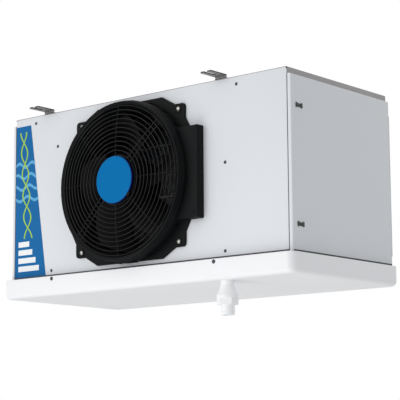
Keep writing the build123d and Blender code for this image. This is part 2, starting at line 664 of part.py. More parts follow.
def main():
    """Build every node and write it."""
    os.makedirs("parts", exist_ok=True)
    save(front_panel(), "front_panel")
    save(top_cover(), "top_cover")
    save(tube_plate(-1), "tube_plate_left")
    save(tube_plate(1), "tube_plate_right")
    save(rear_strip(TOP_Z - 28, TOP_Z - SHEET), "rear_strip_top")
    save(rear_strip(SKIRT_Z, -432), "rear_strip_bottom")
    save(rear_closure(LEFT_X, -1), "rear_closure_left")
    save(rear_closure(RIGHT_X, 1), "rear_closure_right")
    save(hanging_rail(-1), "hanging_rail_left")
    save(hanging_rail(1), "hanging_rail_right")
    save(rail_bolts(), "rail_bolts")
    save(coil_fins(), "coil_fins")
    save(coil_tubes(), "coil_tubes")
    top_plate, bottom_plate = coil_plates()
    save(top_plate, "coil_plate_top")
    save(bottom_plate, "coil_plate_bottom")
    save(return_bends(-1), "return_bends_left")
    save(return_bends(1), "return_bends_right")
    save(suction_header(), "suction_header")
    save(suction_line(), "suction_line")
    save(distributor(), "liquid_distributor")
    save(distributor_leads(), "distributor_leads")
    save(coil_heaters(), "coil_heaters")
    save(drain_pan(), "drain_pan")
    save(drain_spigot(), "drain_spigot")
    save(drain_nut(), "drain_nut")
    save(pan_heater(), "pan_heater")
    save(pan_knuckles(), "pan_knuckles")
    save(pan_hinge_lugs(), "pan_hinge_lugs")
    save(pan_screws(), "pan_screws")
    save(side_cover(LEFT_X, -1), "side_cover_left")
    save(side_cover(RIGHT_X, 1), "side_cover_right")
    save(cover_hinge_lugs(), "cover_hinge_lugs")
    save(cover_screws(LEFT_X, -1), "cover_screws_left")
    save(cover_screws(RIGHT_X, 1), "cover_screws_right")
    save(fan_shroud(), "fan_shroud")
    save(shroud_screws(), "shroud_screws")
    save(terminal_box(), "terminal_box")
    save(fan_guard(), "fan_guard")
    save(motor_stator(), "motor_stator")
    save(fan_cap(), "fan_cap")
    save(rotor_hub(), "rotor_hub")
    save(fan_blades(), "fan_blades")
    save(panel_rivets(), "panel_rivets")
    save(front_label(), "front_label")


if __name__ == "__main__":
    main()
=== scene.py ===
"""Walk-in unit cooler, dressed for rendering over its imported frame.

Metres, +Z up.  The origin lies on the ceiling plane, midway between the hanging forks, and the fan
axis runs along Y at X = 0.  "Out" is the distance in front of the fan panel, towards -Y.
"""
import logging
from collections.abc import Callable
from dataclasses import dataclass, field
from enum import Enum
from math import asin, cos, pi, radians, sin, sqrt

import bmesh
import bpy
from mathutils import Matrix, Vector

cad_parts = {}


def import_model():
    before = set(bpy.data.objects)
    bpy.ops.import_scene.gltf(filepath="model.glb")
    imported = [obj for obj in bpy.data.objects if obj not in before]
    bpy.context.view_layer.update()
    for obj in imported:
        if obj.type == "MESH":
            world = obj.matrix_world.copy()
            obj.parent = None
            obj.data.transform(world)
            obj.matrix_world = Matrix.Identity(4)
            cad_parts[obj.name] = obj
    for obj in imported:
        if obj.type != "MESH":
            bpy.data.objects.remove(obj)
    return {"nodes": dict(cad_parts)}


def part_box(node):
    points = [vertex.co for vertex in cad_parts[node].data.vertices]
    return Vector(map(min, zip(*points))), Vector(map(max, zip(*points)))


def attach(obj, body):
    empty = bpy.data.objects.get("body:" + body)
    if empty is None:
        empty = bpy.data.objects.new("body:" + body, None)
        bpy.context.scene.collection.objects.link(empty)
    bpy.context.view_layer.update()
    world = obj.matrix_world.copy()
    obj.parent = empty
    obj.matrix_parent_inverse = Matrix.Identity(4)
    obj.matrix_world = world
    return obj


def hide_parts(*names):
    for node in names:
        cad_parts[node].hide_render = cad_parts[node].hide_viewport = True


log = logging.getLogger("unit_cooler")

Point = tuple[float, float]
Place = tuple[float, float, float]
Colour = tuple[float, float, float]

FULL_TURN = 2 * pi


class Body(Enum):
    """The rigid bodies of the frame."""

    CASING = "casing"
    PAN = "drain_pan_body"
    LEFT_COVER = "left_cover_body"
    RIGHT_COVER = "right_cover_body"
    ROTOR = "fan_rotor"


class Slot(Enum):
    """Material slots of the record."""

    WHITE_PAINT = "white_paint"
    GALVANISED = "galvanised"
    FIN_ALUMINIUM = "fin_aluminium"
    COPPER = "copper"
    BRASS = "brass"
    HEATER_STEEL = "heater_steel"
    PAN_WHITE = "pan_white"
    DRAIN_WHITE = "drain_white"
    SCREW_STEEL = "screw_steel"
    BLACK_PLASTIC = "black_plastic"
    GUARD_BLACK = "guard_black"
    MOTOR_BLACK = "motor_black"
    BLADE_BLACK = "blade_black"
    BLUE_CAP = "blue_cap"
    LABEL_BLUE = "label_blue"
    RIVET_GREY = "rivet_grey"


# ---- finishes -----------------------------------------------------------------------------------
class Grain(Enum):
    """Kinds of fine surface pattern."""

    PEEL = "rounded orange peel"
    SPANGLE = "zinc crystals"
    DRAWN = "streaks along X"
    CAST = "coarse and fine specks"


@dataclass(frozen=True)
class Finish:
    """A procedural surface: one colour that varies a little, a gloss that varies, and a fine relief."""

    slot: Slot
    colour: Colour
    roughness: float
    metallic: float = 0.0
    grain: Grain = Grain.PEEL
    scale: float = 900.0
    relief: float = 0.02
    tone: float = 0.04
    gloss_spread: float = 0.06
    specular: float = 0.5
    coat: float = 0.0
    variant: str = ""

    def material(self) -> bpy.types.Material:
        """Return the material of this finish, made on first use.

        Returns:
            The Blender material, named after its slot and its variant.
        """
        name = f"finish_{self.slot.value}{self.variant}"
        made = bpy.data.materials.get(name)
        if made:
            return made
        made = bpy.data.materials.new(name)
        made.use_nodes = True
        self._wire(made.node_tree)
        return made

    def _wire(self, tree: bpy.types.NodeTree) -> None:
        """Connect pattern, colour, gloss and relief to the shader.

        Args:
            tree: The material's node tree.
        """
        shader = tree.nodes["Principled BSDF"]
        shader.inputs["Metallic"].default_value = self.metallic
        shader.inputs["Specular IOR Level"].default_value = self.specular
        shader.inputs["Coat Weight"].default_value = self.coat
        shader.inputs["Coat Roughness"].default_value = 0.12
        fine = self._pattern(tree, self.scale)
        broad = self._noise(tree, 9.0, 3.0)
        tree.links.new(self._tint(tree, fine, broad), shader.inputs["Base Color"])
        glossiest, dullest = self.roughness - self.gloss_spread, self.roughness + self.gloss_spread
        tree.links.new(self._range(tree, broad, glossiest, dullest), shader.inputs["Roughness"])
        bump = tree.nodes.new("ShaderNodeBump")
        bump.inputs["Strength"].default_value = 1.0
        bump.inputs["Distance"].default_value = self.relief * 0.001
        tree.links.new(fine, bump.inputs["Height"])
        tree.links.new(bump.outputs["Normal"], shader.inputs["Normal"])

    def _pattern(self, tree: bpy.types.NodeTree, scale: float) -> bpy.types.NodeSocket:
        """Make the fine pattern of this finish's grain.

        Args:
            tree: The material's node tree.
            scale: Pattern features per metre.

        Returns:
            A socket with values from 0 to 1.
        """
        if self.grain is Grain.SPANGLE:
            cells = tree.nodes.new("ShaderNodeTexVoronoi")
            cells.inputs["Scale"].default_value = scale
            tree.links.new(self._coordinates(tree, (1, 1, 1)), cells.inputs["Vector"])
            grey = tree.nodes.new("ShaderNodeRGBToBW")
            tree.links.new(cells.outputs["Color"], grey.inputs["Color"])
            return grey.outputs["Val"]
        if self.grain is Grain.DRAWN:
            return self._noise(tree, scale, 2.0, (0.03, 1, 1))
        detail = 6.0 if self.grain is Grain.CAST else 2.0
        return self._noise(tree, scale, detail)

    def _noise(
        self, tree: bpy.types.NodeTree, scale: float, detail: float, stretch: Place = (1, 1, 1)
    ) -> bpy.types.NodeSocket:
        """Add a noise texture in the piece's own coordinates.

        Args:
            tree: The material's node tree.
            scale: Noise features per metre.
            detail: Octaves of finer noise.
            stretch: Scale of the coordinates along each axis.

        Returns:
            The noise's value socket.
        """
        noise = tree.nodes.new("ShaderNodeTexNoise")
        noise.inputs["Scale"].default_value = scale
        noise.inputs["Detail"].default_value = detail
        tree.links.new(self._coordinates(tree, stretch), noise.inputs["Vector"])
        return noise.outputs["Fac"]

    def _coordinates(self, tree: bpy.types.NodeTree, stretch: Place) -> bpy.types.NodeSocket:
        """Return the piece's own coordinates, stretched along the axes.

        Args:
            tree: The material's node tree.
            stretch: Scale of the coordinates along each axis.

        Returns:
            A vector socket.
        """
        source = tree.nodes.new("ShaderNodeTexCoord")
        mapping = tree.nodes.new("ShaderNodeMapping")
        mapping.inputs["Scale"].default_value = stretch
        tree.links.new(source.outputs["Object"], mapping.inputs["Vector"])
        return mapping.outputs["Vector"]

    def _tint(
        self, tree: bpy.types.NodeTree, fine: bpy.types.NodeSocket, broad: bpy.types.NodeSocket
    ) -> bpy.types.NodeSocket:
        """Vary the colour a little with both patterns.

        Args:
            tree: The material's node tree.
            fine: Fine pattern.
            broad: Broad pattern.

        Returns:
            A colour socket.
        """
        both = tree.nodes.new("ShaderNodeMath")
        both.operation = "MULTIPLY_ADD"
        both.inputs[1].default_value = 0.6
        tree.links.new(fine, both.inputs[0])
        share = tree.nodes.new("ShaderNodeMath")
        share.operation = "MULTIPLY"
        share.inputs[1].default_value = 0.4
        tree.links.new(broad, share.inputs[0])
        tree.links.new(share.outputs["Value"], both.inputs[2])
        ramp = tree.nodes.new("ShaderNodeValToRGB")
        dark = tuple(max(channel * (1 - self.tone), 0) for channel in self.colour)
        light = tuple(min(channel * (1 + self.tone), 1) for channel in self.colour)
        ramp.color_ramp.elements[0].position = 0.3
        ramp.color_ramp.elements[0].color = (*dark, 1)
        ramp.color_ramp.elements[1].position = 0.7
        ramp.color_ramp.elements[1].color = (*light, 1)
        tree.links.new(both.outputs["Value"], ramp.inputs["Fac"])
        return ramp.outputs["Color"]

    def _range(
        self, tree: bpy.types.NodeTree, value: bpy.types.NodeSocket, low: float, high: float
    ) -> bpy.types.NodeSocket:
        """Spread a pattern between two values.

        Args:
            tree: The material's node tree.
            value: Pattern from 0 to 1.
            low: Result for the pattern's dark parts.
            high: Result for its light parts.

        Returns:
            A value socket.
        """
        spread = tree.nodes.new("ShaderNodeMapRange")
        spread.inputs["From Min"].default_value = 0.3
        spread.inputs["From Max"].default_value = 0.7
        spread.inputs["To Min"].default_value = max(low, 0.02)
        spread.inputs["To Max"].default_value = min(high, 1.0)
        tree.links.new(value, spread.inputs["Value"])
        return spread.outputs["Result"]


POWDER_COAT = Finish(Slot.WHITE_PAINT, (0.80, 0.815, 0.84), 0.42, scale=1400, relief=0.012, tone=0.012)
ZINC = Finish(Slot.GALVANISED, (0.50, 0.51, 0.52), 0.36, 0.9, Grain.SPANGLE, 160, 0.003, 0.08, 0.08)
# Darker copy of the galvanised finish: painted shade, used on the top sheet's flanges and on the rails.
ZINC_PAINTED_SHADE = Finish(
    Slot.GALVANISED, (0.29, 0.28, 0.285), 0.40, 0.8, Grain.DRAWN, 500, 0.004, 0.10, variant="_painted_shade"
)
# Near-black copy of the galvanised finish: painted shadow in the gaps along the top sheet's flanges; it also
# darkens the forks' cut edges.
ZINC_SHADOW_AND_CUT_EDGE = Finish(
    Slot.GALVANISED, (0.075, 0.07, 0.07), 0.5, 0.5, Grain.DRAWN, 900, 0.008, 0.12, 0.08, 0.2, variant="_shadow_and_cut_edge"
)
FIN_SHEET = Finish(Slot.FIN_ALUMINIUM, (0.66, 0.68, 0.69), 0.40, 0.9, Grain.DRAWN, 1500, 0.01, 0.05)
COPPER = Finish(Slot.COPPER, (0.72, 0.40, 0.26), 0.30, 0.95, Grain.CAST, 300, 0.01, 0.14, 0.10)
BRASS = Finish(Slot.BRASS, (0.72, 0.57, 0.28), 0.32, 0.95, Grain.CAST, 420, 0.01, 0.08)
SHEATH = Finish(Slot.HEATER_STEEL, (0.42, 0.41, 0.40), 0.40, 0.9, Grain.DRAWN, 900, 0.01, 0.08)
PAN_PLASTIC = Finish(
    Slot.PAN_WHITE, (0.95, 0.95, 0.96), 0.30, 0.0, Grain.PEEL, 420, 0.0006, 0.004, 0.015, coat=0.1
)
DRAIN_PLASTIC = Finish(Slot.DRAIN_WHITE, (0.97, 0.975, 0.98), 0.34, scale=700, relief=0.01, tone=0.012)
SCREW_ZINC = Finish(Slot.SCREW_STEEL, (0.46, 0.46, 0.43), 0.30, 0.95, Grain.CAST, 1200, 0.006, 0.10)
SCREW_DARK = Finish(
    Slot.SCREW_STEEL, (0.055, 0.06, 0.058), 0.34, 0.8, Grain.CAST, 1200, 0.006, 0.15, variant="_dark"
)
RING_PLASTIC = Finish(
    Slot.BLACK_PLASTIC, (0.0055, 0.006, 0.0065), 0.50, 0.0, Grain.CAST, 1600, 0.03, 0.2, specular=0.10
)
# Dark grey strips stand in for the shadow in the gaps round the side covers and above the pan's lip: painted
# shadow.
GAP_SHADOW = Finish(
    Slot.BLACK_PLASTIC, (0.10, 0.10, 0.105), 0.7, relief=0.02, tone=0.1, specular=0.1, variant="_gap_shadow"
)
WIRE_COAT = Finish(Slot.GUARD_BLACK, (0.003, 0.003, 0.0034), 0.18, relief=0.006, tone=0.12, specular=0.24)
MOTOR_PAINT = Finish(
    Slot.MOTOR_BLACK, (0.006, 0.006, 0.0065), 0.46, 0.0, Grain.CAST, 1100, 0.02, 0.15, specular=0.12
)
BLADE_PLASTIC = Finish(
    Slot.BLADE_BLACK, (0.0045, 0.0045, 0.005), 0.46, 0.0, Grain.CAST, 1000, 0.02, 0.15, specular=0.08
)
CAP_BLUE = Finish(Slot.BLUE_CAP, (0.0005, 0.168, 0.450), 0.40, scale=700, relief=0.008, specular=0.05)
# Dark navy copy of the cap's blue for its rim: painted shade.
CAP_EDGE_SHADE = Finish(
    Slot.BLUE_CAP, (0.006, 0.01, 0.13), 0.36, 0.0, Grain.PEEL, 700, 0.008, 0.1, specular=0.2, variant="_edge"
)
DECAL_BLUE = Finish(
    Slot.LABEL_BLUE, (0.010, 0.150, 0.400), 0.40, scale=800, relief=0.004, tone=0.05, specular=0.1
)
RIVET = Finish(Slot.RIVET_GREY, (0.075, 0.08, 0.085), 0.36, 0.9, Grain.CAST, 1500, 0.006, 0.12)


@dataclass(frozen=True)
class Ink:
    """A flat printing ink on the decal, slightly uneven."""

    name: str
    colour: Colour

    def material(self) -> bpy.types.Material:
        """Return the ink's material.

        Returns:
            The Blender material.
        """
        film = Finish(Slot.LABEL_BLUE, self.colour, 0.40, scale=800, relief=0.004, tone=0.04)
        made = bpy.data.materials.new(f"ink_{self.name}")
        made.use_nodes = True
        film._wire(made.node_tree)
        return made


# ---- shaping ------------------------------------------------------------------------------------
def facing_front(x: float, y: float, z: float) -> Matrix:
    """Return the place of a shape whose own Z points out of the front.

    Args:
        x: Place along the casing.
        y: Depth.
        z: Height.

    Returns:
        The matrix from the shape's own axes to the row frame.
    """
    return Matrix.Translation((x, y, z)) @ Matrix.Rotation(pi / 2, 4, "X")


def facing_side(x: float, y: float, z: float, side: int) -> Matrix:
    """Return the place of a shape whose own Z points out of an end of the casing.

    Args:
        x: Place along the casing.
        y: Depth.
        z: Height.
        side: 1 for the right end, -1 for the left.

    Returns:
        The matrix from the shape's own axes to the row frame.
    """
    return Matrix.Translation((x, y, z)) @ Matrix.Rotation(side * pi / 2, 4, "Y")


def rounded_box(low: Place, high: Place, radius: float = 0.0, segments: int = 3) -> bmesh.types.BMesh:
    """Make a box with rounded edges.

    Args:
        low: Lowest corner.
        high: Highest corner.
        radius: Edge radius, or 0 for sharp edges.
        segments: Faces across each rounded edge.

    Returns:
        A new mesh.
    """
    shape = bmesh.new()
    low_corner, high_corner = Vector(low), Vector(high)
    verts = bmesh.ops.create_cube(shape, size=1.0)["verts"]
    bmesh.ops.scale(shape, vec=high_corner - low_corner, verts=verts)
    bmesh.ops.translate(shape, vec=(low_corner + high_corner) / 2, verts=verts)
    if radius > 0:
        round_edges(shape, shape.edges[:], radius, segments)
    return shape


def round_edges(
    shape: bmesh.types.BMesh, edges: list[bmesh.types.BMEdge], radius: float, segments: int
) -> None:
    """Round some edges of a mesh.

    Args:
        shape: The mesh.
        edges: Edges to round.
        radius: Edge radius.
        segments: Faces across each rounded edge.
    """
    bmesh.ops.bevel(
        shape,
        geom=edges,
        offset=radius,
        offset_type="OFFSET",
        segments=segments,
        profile=0.5,
        affect="EDGES",
        material=-1,
        clamp_overlap=True,
    )


def turned(profile: list[Point], steps: int = 64, closed: bool = False) -> bmesh.types.BMesh:
    """Revolve a profile about its own Z axis.

    Args:
        profile: Points as radius and height.
        steps: Faces round the axis.
        closed: Whether the last point joins the first, as in a ring.

    Returns:
        A new mesh.
    """
    shape = bmesh.new()
    verts = [shape.verts.new((radius, 0, height)) for radius, height in profile]
    edges = [shape.edges.new(pair) for pair in zip(verts, verts[1:])]
    if closed:
        edges.append(shape.edges.new((verts[-1], verts[0])))
    bmesh.ops.spin(
        shape,
        geom=verts + edges,
        cent=(0, 0, 0),
        axis=(0, 0, 1),
        angle=FULL_TURN,
        steps=steps,
        use_merge=True,
    )
    bmesh.ops.remove_doubles(shape, verts=shape.verts[:], dist=1e-7)
    return shape


def plate(
    outline: list[Point], thickness: float, holes: tuple[Place, ...] = (), edge: float = 0.0
) -> bmesh.types.BMesh:
    """Make a flat plate on the XY plane, thickened along Z.

    Args:
        outline: Points round the plate.
        thickness: Height of the plate.
        holes: Round holes as X, Y and radius.
        edge: Radius of the rounding round the front face, or 0.

    Returns:
        A new mesh.
    """
    shape = bmesh.new()
    verts = [shape.verts.new((x, y, 0)) for x, y in outline]
    edges = [shape.edges.new(pair) for pair in zip(verts, verts[1:] + verts[:1])]
    for x, y, radius in holes:
        steps = 96 if radius > 0.05 else 24
        middle = Matrix.Translation((x, y, 0))
        ring = bmesh.ops.create_circle(shape, segments=steps, radius=radius, matrix=middle)
        edges += list({link for vert in ring["verts"] for link in vert.link_edges})
    bmesh.ops.triangle_fill(shape, edges=edges, use_beauty=True, use_dissolve=False)
    raised = bmesh.ops.extrude_face_region(shape, geom=shape.faces[:])
    top = [item for item in raised["geom"] if isinstance(item, bmesh.types.BMVert)]
    bmesh.ops.translate(shape, vec=(0, 0, thickness), verts=top)
    bmesh.ops.recalc_face_normals(shape, faces=shape.faces[:])
    if edge > 0:
        front = [link for link in shape.edges if min(v.co.z for v in link.verts) > thickness - 1e-7]
        round_edges(shape, [link for link in front if sharp(link)], edge, 3)
    return shape


def sharp(edge: bmesh.types.BMEdge) -> bool:
    """Tell whether two faces meet at a corner on this edge."""
    return len(edge.link_faces) == 2 and edge.calc_face_angle(0.0) > radians(50)


def pipe(points: list[Vector], radius: float, sides: int = 12) -> bmesh.types.BMesh:
    """Carry a circle along a route, mitred at every point.

    Args:
        points: Middle line of the pipe.
        radius: Pipe radius.
        sides: Faces round the pipe.

    Returns:
        A new mesh with closed ends.
    """
    shape = bmesh.new()
    places = route_places(points)
    start = bmesh.ops.create_circle(shape, cap_ends=True, segments=sides, radius=radius, matrix=places[0])
    rim = list({link for vert in start["verts"] for link in vert.link_edges})
    for before, after in zip(places, places[1:]):
        grown = bmesh.ops.extrude_edge_only(shape, edges=rim)["geom"]
        verts = [item for item in grown if isinstance(item, bmesh.types.BMVert)]
        rim = [item for item in grown if isinstance(item, bmesh.types.BMEdge)]
        rim = [link for link in rim if all(vert in verts for vert in link.verts)]
        bmesh.ops.transform(shape, matrix=after @ before.inverted(), verts=verts)
    bmesh.ops.contextual_create(shape, geom=rim)
    bmesh.ops.recalc_face_normals(shape, faces=shape.faces[:])
    return shape


def route_places(points: list[Vector]) -> list[Matrix]:
    """Return a place for a pipe's section at every point of its route, leaning at the bends.

    Args:
        points: Middle line of the pipe.

    Returns:
        One matrix for each point, its Z along the route.
    """
    places = []
    turn = None
    for index, point in enumerate(points):
        ahead = (points[min(index + 1, len(points) - 1)] - point).normalized()
        behind = (point - points[max(index - 1, 0)]).normalized()
        along = (ahead + behind).normalized()
        if turn is None:
            turn = Vector((0, 0, 1)).rotation_difference(along)
        else:
            turn = (turn @ Vector((0, 0, 1))).rotation_difference(along) @ turn
        flat = 1.0
        if ahead.length and behind.length:
            flat = 1 / max(along.dot(ahead), 0.3)
        place = Matrix.Translation(point) @ turn.to_matrix().to_4x4()
        lean = ahead.cross(behind)
        if flat > 1.0001 and lean.length:
            across = lean.normalized().cross(along)
            mitre = Matrix.Translation(point) @ Matrix.Scale(flat, 4, across) @ Matrix.Translation(-point)
            place = mitre @ place
        places.append(place)
    return places


def arc(centre: Point, radius: float, start: float, end: float, steps: int) -> list[Point]:
    """Return points along an arc.

    Args:
        centre: Middle of the arc.
        radius: Arc radius.
        start: First angle, in radians.
        end: Last angle, in radians.
        steps: Number of chords.

    Returns:
        The points, both ends included.
    """
    angles = [start + (end - start) * step / steps for step in range(steps + 1)]
    return [(centre[0] + radius * cos(a), centre[1] + radius * sin(a)) for a in angles]


@dataclass
class Piece:
    """One named mesh of the dressed object, put together from shapes."""

    name: str
    finish: Finish
    body: Body = Body.CASING
    nodes: tuple[str, ...] = ()
    mesh: bmesh.types.BMesh = field(default_factory=bmesh.new)

    def add(self, shape: bmesh.types.BMesh, place: Matrix = Matrix.Identity(4)) -> None:
        """Put a shape into the piece and free it.

        Args:
            shape: The shape, in its own axes.
            place: Where it goes in the row frame.
        """
        bmesh.ops.transform(shape, matrix=place, verts=shape.verts[:])
        bmesh.ops.recalc_face_normals(shape, faces=shape.faces[:])
        carrier = bpy.data.meshes.new("carrier")
        shape.to_mesh(carrier)
        shape.free()
        self.mesh.from_mesh(carrier)
        bpy.data.meshes.remove(carrier)

    def box(self, low: Place, high: Place, radius: float = 0.0, segments: int = 3) -> None:
        """Put a rounded box into the piece, between two corners."""
        self.add(rounded_box(low, high, radius, segments))

    def finished(self) -> bpy.types.Object:
        """Turn the piece into an object that rides on its body and stands for its nodes.

        Returns:
            The object.
        """
        data = bpy.data.meshes.new(self.name)
        self.mesh.to_mesh(data)
        self.mesh.free()
        data.shade_smooth()
        data.set_sharp_from_angle(angle=radians(38))
        data.materials.append(self.finish.material())
        made = bpy.data.objects.new(self.name, data)
        bpy.context.scene.collection.objects.link(made)
        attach(made, self.body.value)
        if self.nodes:
            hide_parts(*self.nodes)
        log.info("%s: %d faces", self.name, len(data.polygons))
        return made


# ---- fasteners ----------------------------------------------------------------------------------
def repaint(made: bpy.types.Object, finish: Finish, chosen: Callable[[bpy.types.MeshPolygon], bool]) -> None:
    """Give some faces of a finished piece another finish.

    Args:
        made: The piece's object.
        finish: The other finish.
        chosen: Tells whether a face gets it.
    """
    made.data.materials.append(finish.material())
    for face in made.data.polygons:
        if chosen(face):
            face.material_index = 1


@dataclass(frozen=True)
class PanHead:
    """A pan-head screw with a cross and a thin washer."""

    radius: float
    height: float

    def add_to(self, piece: Piece, place: Matrix) -> None:
        """Put the head into a piece.

        Args:
            piece: The piece of screws.
            place: Seat of the head, its Z pointing out.
        """
        r, h = self.radius, self.height
        crown = [(r * 0.94 * x, h * (0.35 + 0.65 * z)) for x, z in arc((0, 0), 1.0, 0, pi / 2, 6)]
        dome = [(0.0, h), *reversed(crown[:-1]), (r * 0.94, h * 0.12), (r, h * 0.12), (r, 0.0), (0.0, 0.0)]
        piece.add(turned(dome, 28), place)
        for turn in (0.0, pi / 2):
            long, wide = r * 0.52, r * 0.11
            bar = rounded_box((-long, -wide, h * 0.9), (long, wide, h * 1.01), r * 0.03, 1)
            piece.add(bar, place @ Matrix.Rotation(turn + 0.5, 4, "Z"))


# ---- casing -------------------------------------------------------------------------------------
@dataclass
class Casing:
    """Sheet-metal housing: fan panel, top sheet, end flanges and rear frame."""

    front: float = -0.206
    left: float = -0.412
    right: float = 0.485
    top: float = -0.010
    skirt: float = -0.452
    sheet: float = 0.0015
    fan_height: float = -0.226
    opening: float = 0.186
    side_return: float = 0.038
    top_return: float = 0.018
    gap_shadow_height: float = 0.0056
    gap_shadow_out: float = 0.0009
    gap_shadow_back: float = 0.19
    rivet_radius: float = 0.0041
    rivets: tuple[Point, ...] = (
        (-0.338, -0.029),
        (0.338, -0.029),
        (-0.256, -0.101),
        (0.302, -0.212),
        (-0.276, -0.423),
        (0.300, -0.422),
    )

    def build(self) -> None:
        """Build and dress the casing."""
        self.fan_panel()
        self.top_sheet()
        self.blind_rivets()
        self.pan_gap_shadow()
        for node in ("rear_strip_top", "rear_strip_bottom", "rear_closure_left", "rear_closure_right"):
            dress(node, POWDER_COAT)

    def fan_panel(self) -> None:
        """Fan panel with the round opening, a return down each end and one along the top."""
        piece = Piece("fan_panel", POWDER_COAT, nodes=("front_panel",))
        outline = [
            (self.left, self.skirt),
            (self.right, self.skirt),
            (self.right, self.top),
            (self.left, self.top),
        ]
        hole = ((0.0, self.fan_height, self.opening),)
        sheet = plate(outline, self.sheet, hole, edge=0.0009)
        piece.add(sheet, facing_front(0, self.front + self.sheet, 0))
        t = self.sheet
        inner = self.front + t
        deep, under = inner + self.side_return, self.top - 2 * t
        for x in (self.left + t, self.right - 2 * t):
            piece.box((x, inner, self.skirt), (x + t, deep, under), 0.0003, 1)
        ends = self.left + 0.004, self.right - 0.004
        piece.box((ends[0], inner, under), (ends[1], inner + self.top_return, under + t), 0.0003, 1)
        piece.finished()

    def top_sheet(self) -> None:
        """Top sheet with a flange down each end, with near-black strips of painted shadow at the flanges'
        gaps.
        """
        piece = Piece("top_sheet", ZINC_PAINTED_SHADE, nodes=("top_cover",))
        low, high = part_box("top_cover")
        t = self.sheet
        piece.box((low.x, low.y, high.z - t), (high.x, high.y, high.z), 0.0006, 2)
        piece.box((low.x, self.front - 0.0003, high.z - t), (high.x, self.front + 0.002, high.z), 0.0003, 1)
        for x0, x1 in ((low.x, low.x + t), (high.x - t, high.x)):
            piece.box((x0, low.y, low.z), (x1, high.y, high.z - t * 0.5), 0.0005, 2)
        # Upward faces get the lighter galvanised finish and the rest stay darker: painted shade.
        repaint(piece.finished(), ZINC, lambda face: face.normal.z > 0.5)
        # Near-black strips along the flanges' lower edges and at their front ends: painted shadow of the
        # gaps.
        shadow_strip = Piece("top_sheet_shadow_strip", ZINC_SHADOW_AND_CUT_EDGE)
        proud = 0.0003
        for x0, x1 in ((low.x - proud, low.x + t), (high.x - t, high.x + proud)):
            shadow_strip.box((x0, low.y + 0.001, low.z), (x1, high.y - 0.001, low.z + 0.0030), 0.0002, 1)
            shadow_strip.box((x0, self.front - 0.0004, high.z - 0.0045), (x1, self.front + 0.003, high.z - 0.0008))
        shadow_strip.finished()

    def pan_gap_shadow(self) -> None:
        """Grey strip round the casing, just above the lip of the pan: painted shadow of the gap there."""
        piece = Piece("pan_gap_shadow", GAP_SHADOW)
        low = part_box("drain_pan")[1].z + 0.0004
        high = low + self.gap_shadow_height
        out = self.gap_shadow_out
        half = out * 0.5
        piece.box((self.left - half, self.front - out, low), (self.right + half, self.front, high))
        for side, x in ((-1, self.left), (1, self.right)):
            near, far = sorted((x, x + side * out))
            piece.box((near, self.front - half, low), (far, self.gap_shadow_back, high))
        piece.finished()

    def blind_rivets(self) -> None:
        """Small domed rivets with a dark mandrel hole."""
        piece = Piece("blind_rivets", RIVET, nodes=("panel_rivets",))
        r = self.rivet_radius
        dome = [(0, 0.0006), (r * 0.30, 0.0006), (r * 0.36, 0.0012), (r * 0.7, 0.0010), (r, 0.0003), (r, 0)]
        dome.append((0, 0))
        for x, z in self.rivets:
            piece.add(turned(dome, 24), facing_front(x, self.front, z))
        piece.finished()


def dress(node: str, finish: Finish) -> None:
    """Give a node of the frame its finish.

    Args:
        node: Name of the node.
        finish: Its finish.
    """
    thing = frame_nodes[node]
    thing.data.materials.clear()
    thing.data.materials.append(finish.material())
    log.info("%s: dressed", node)


frame_nodes: dict[str, bpy.types.Object] = {}


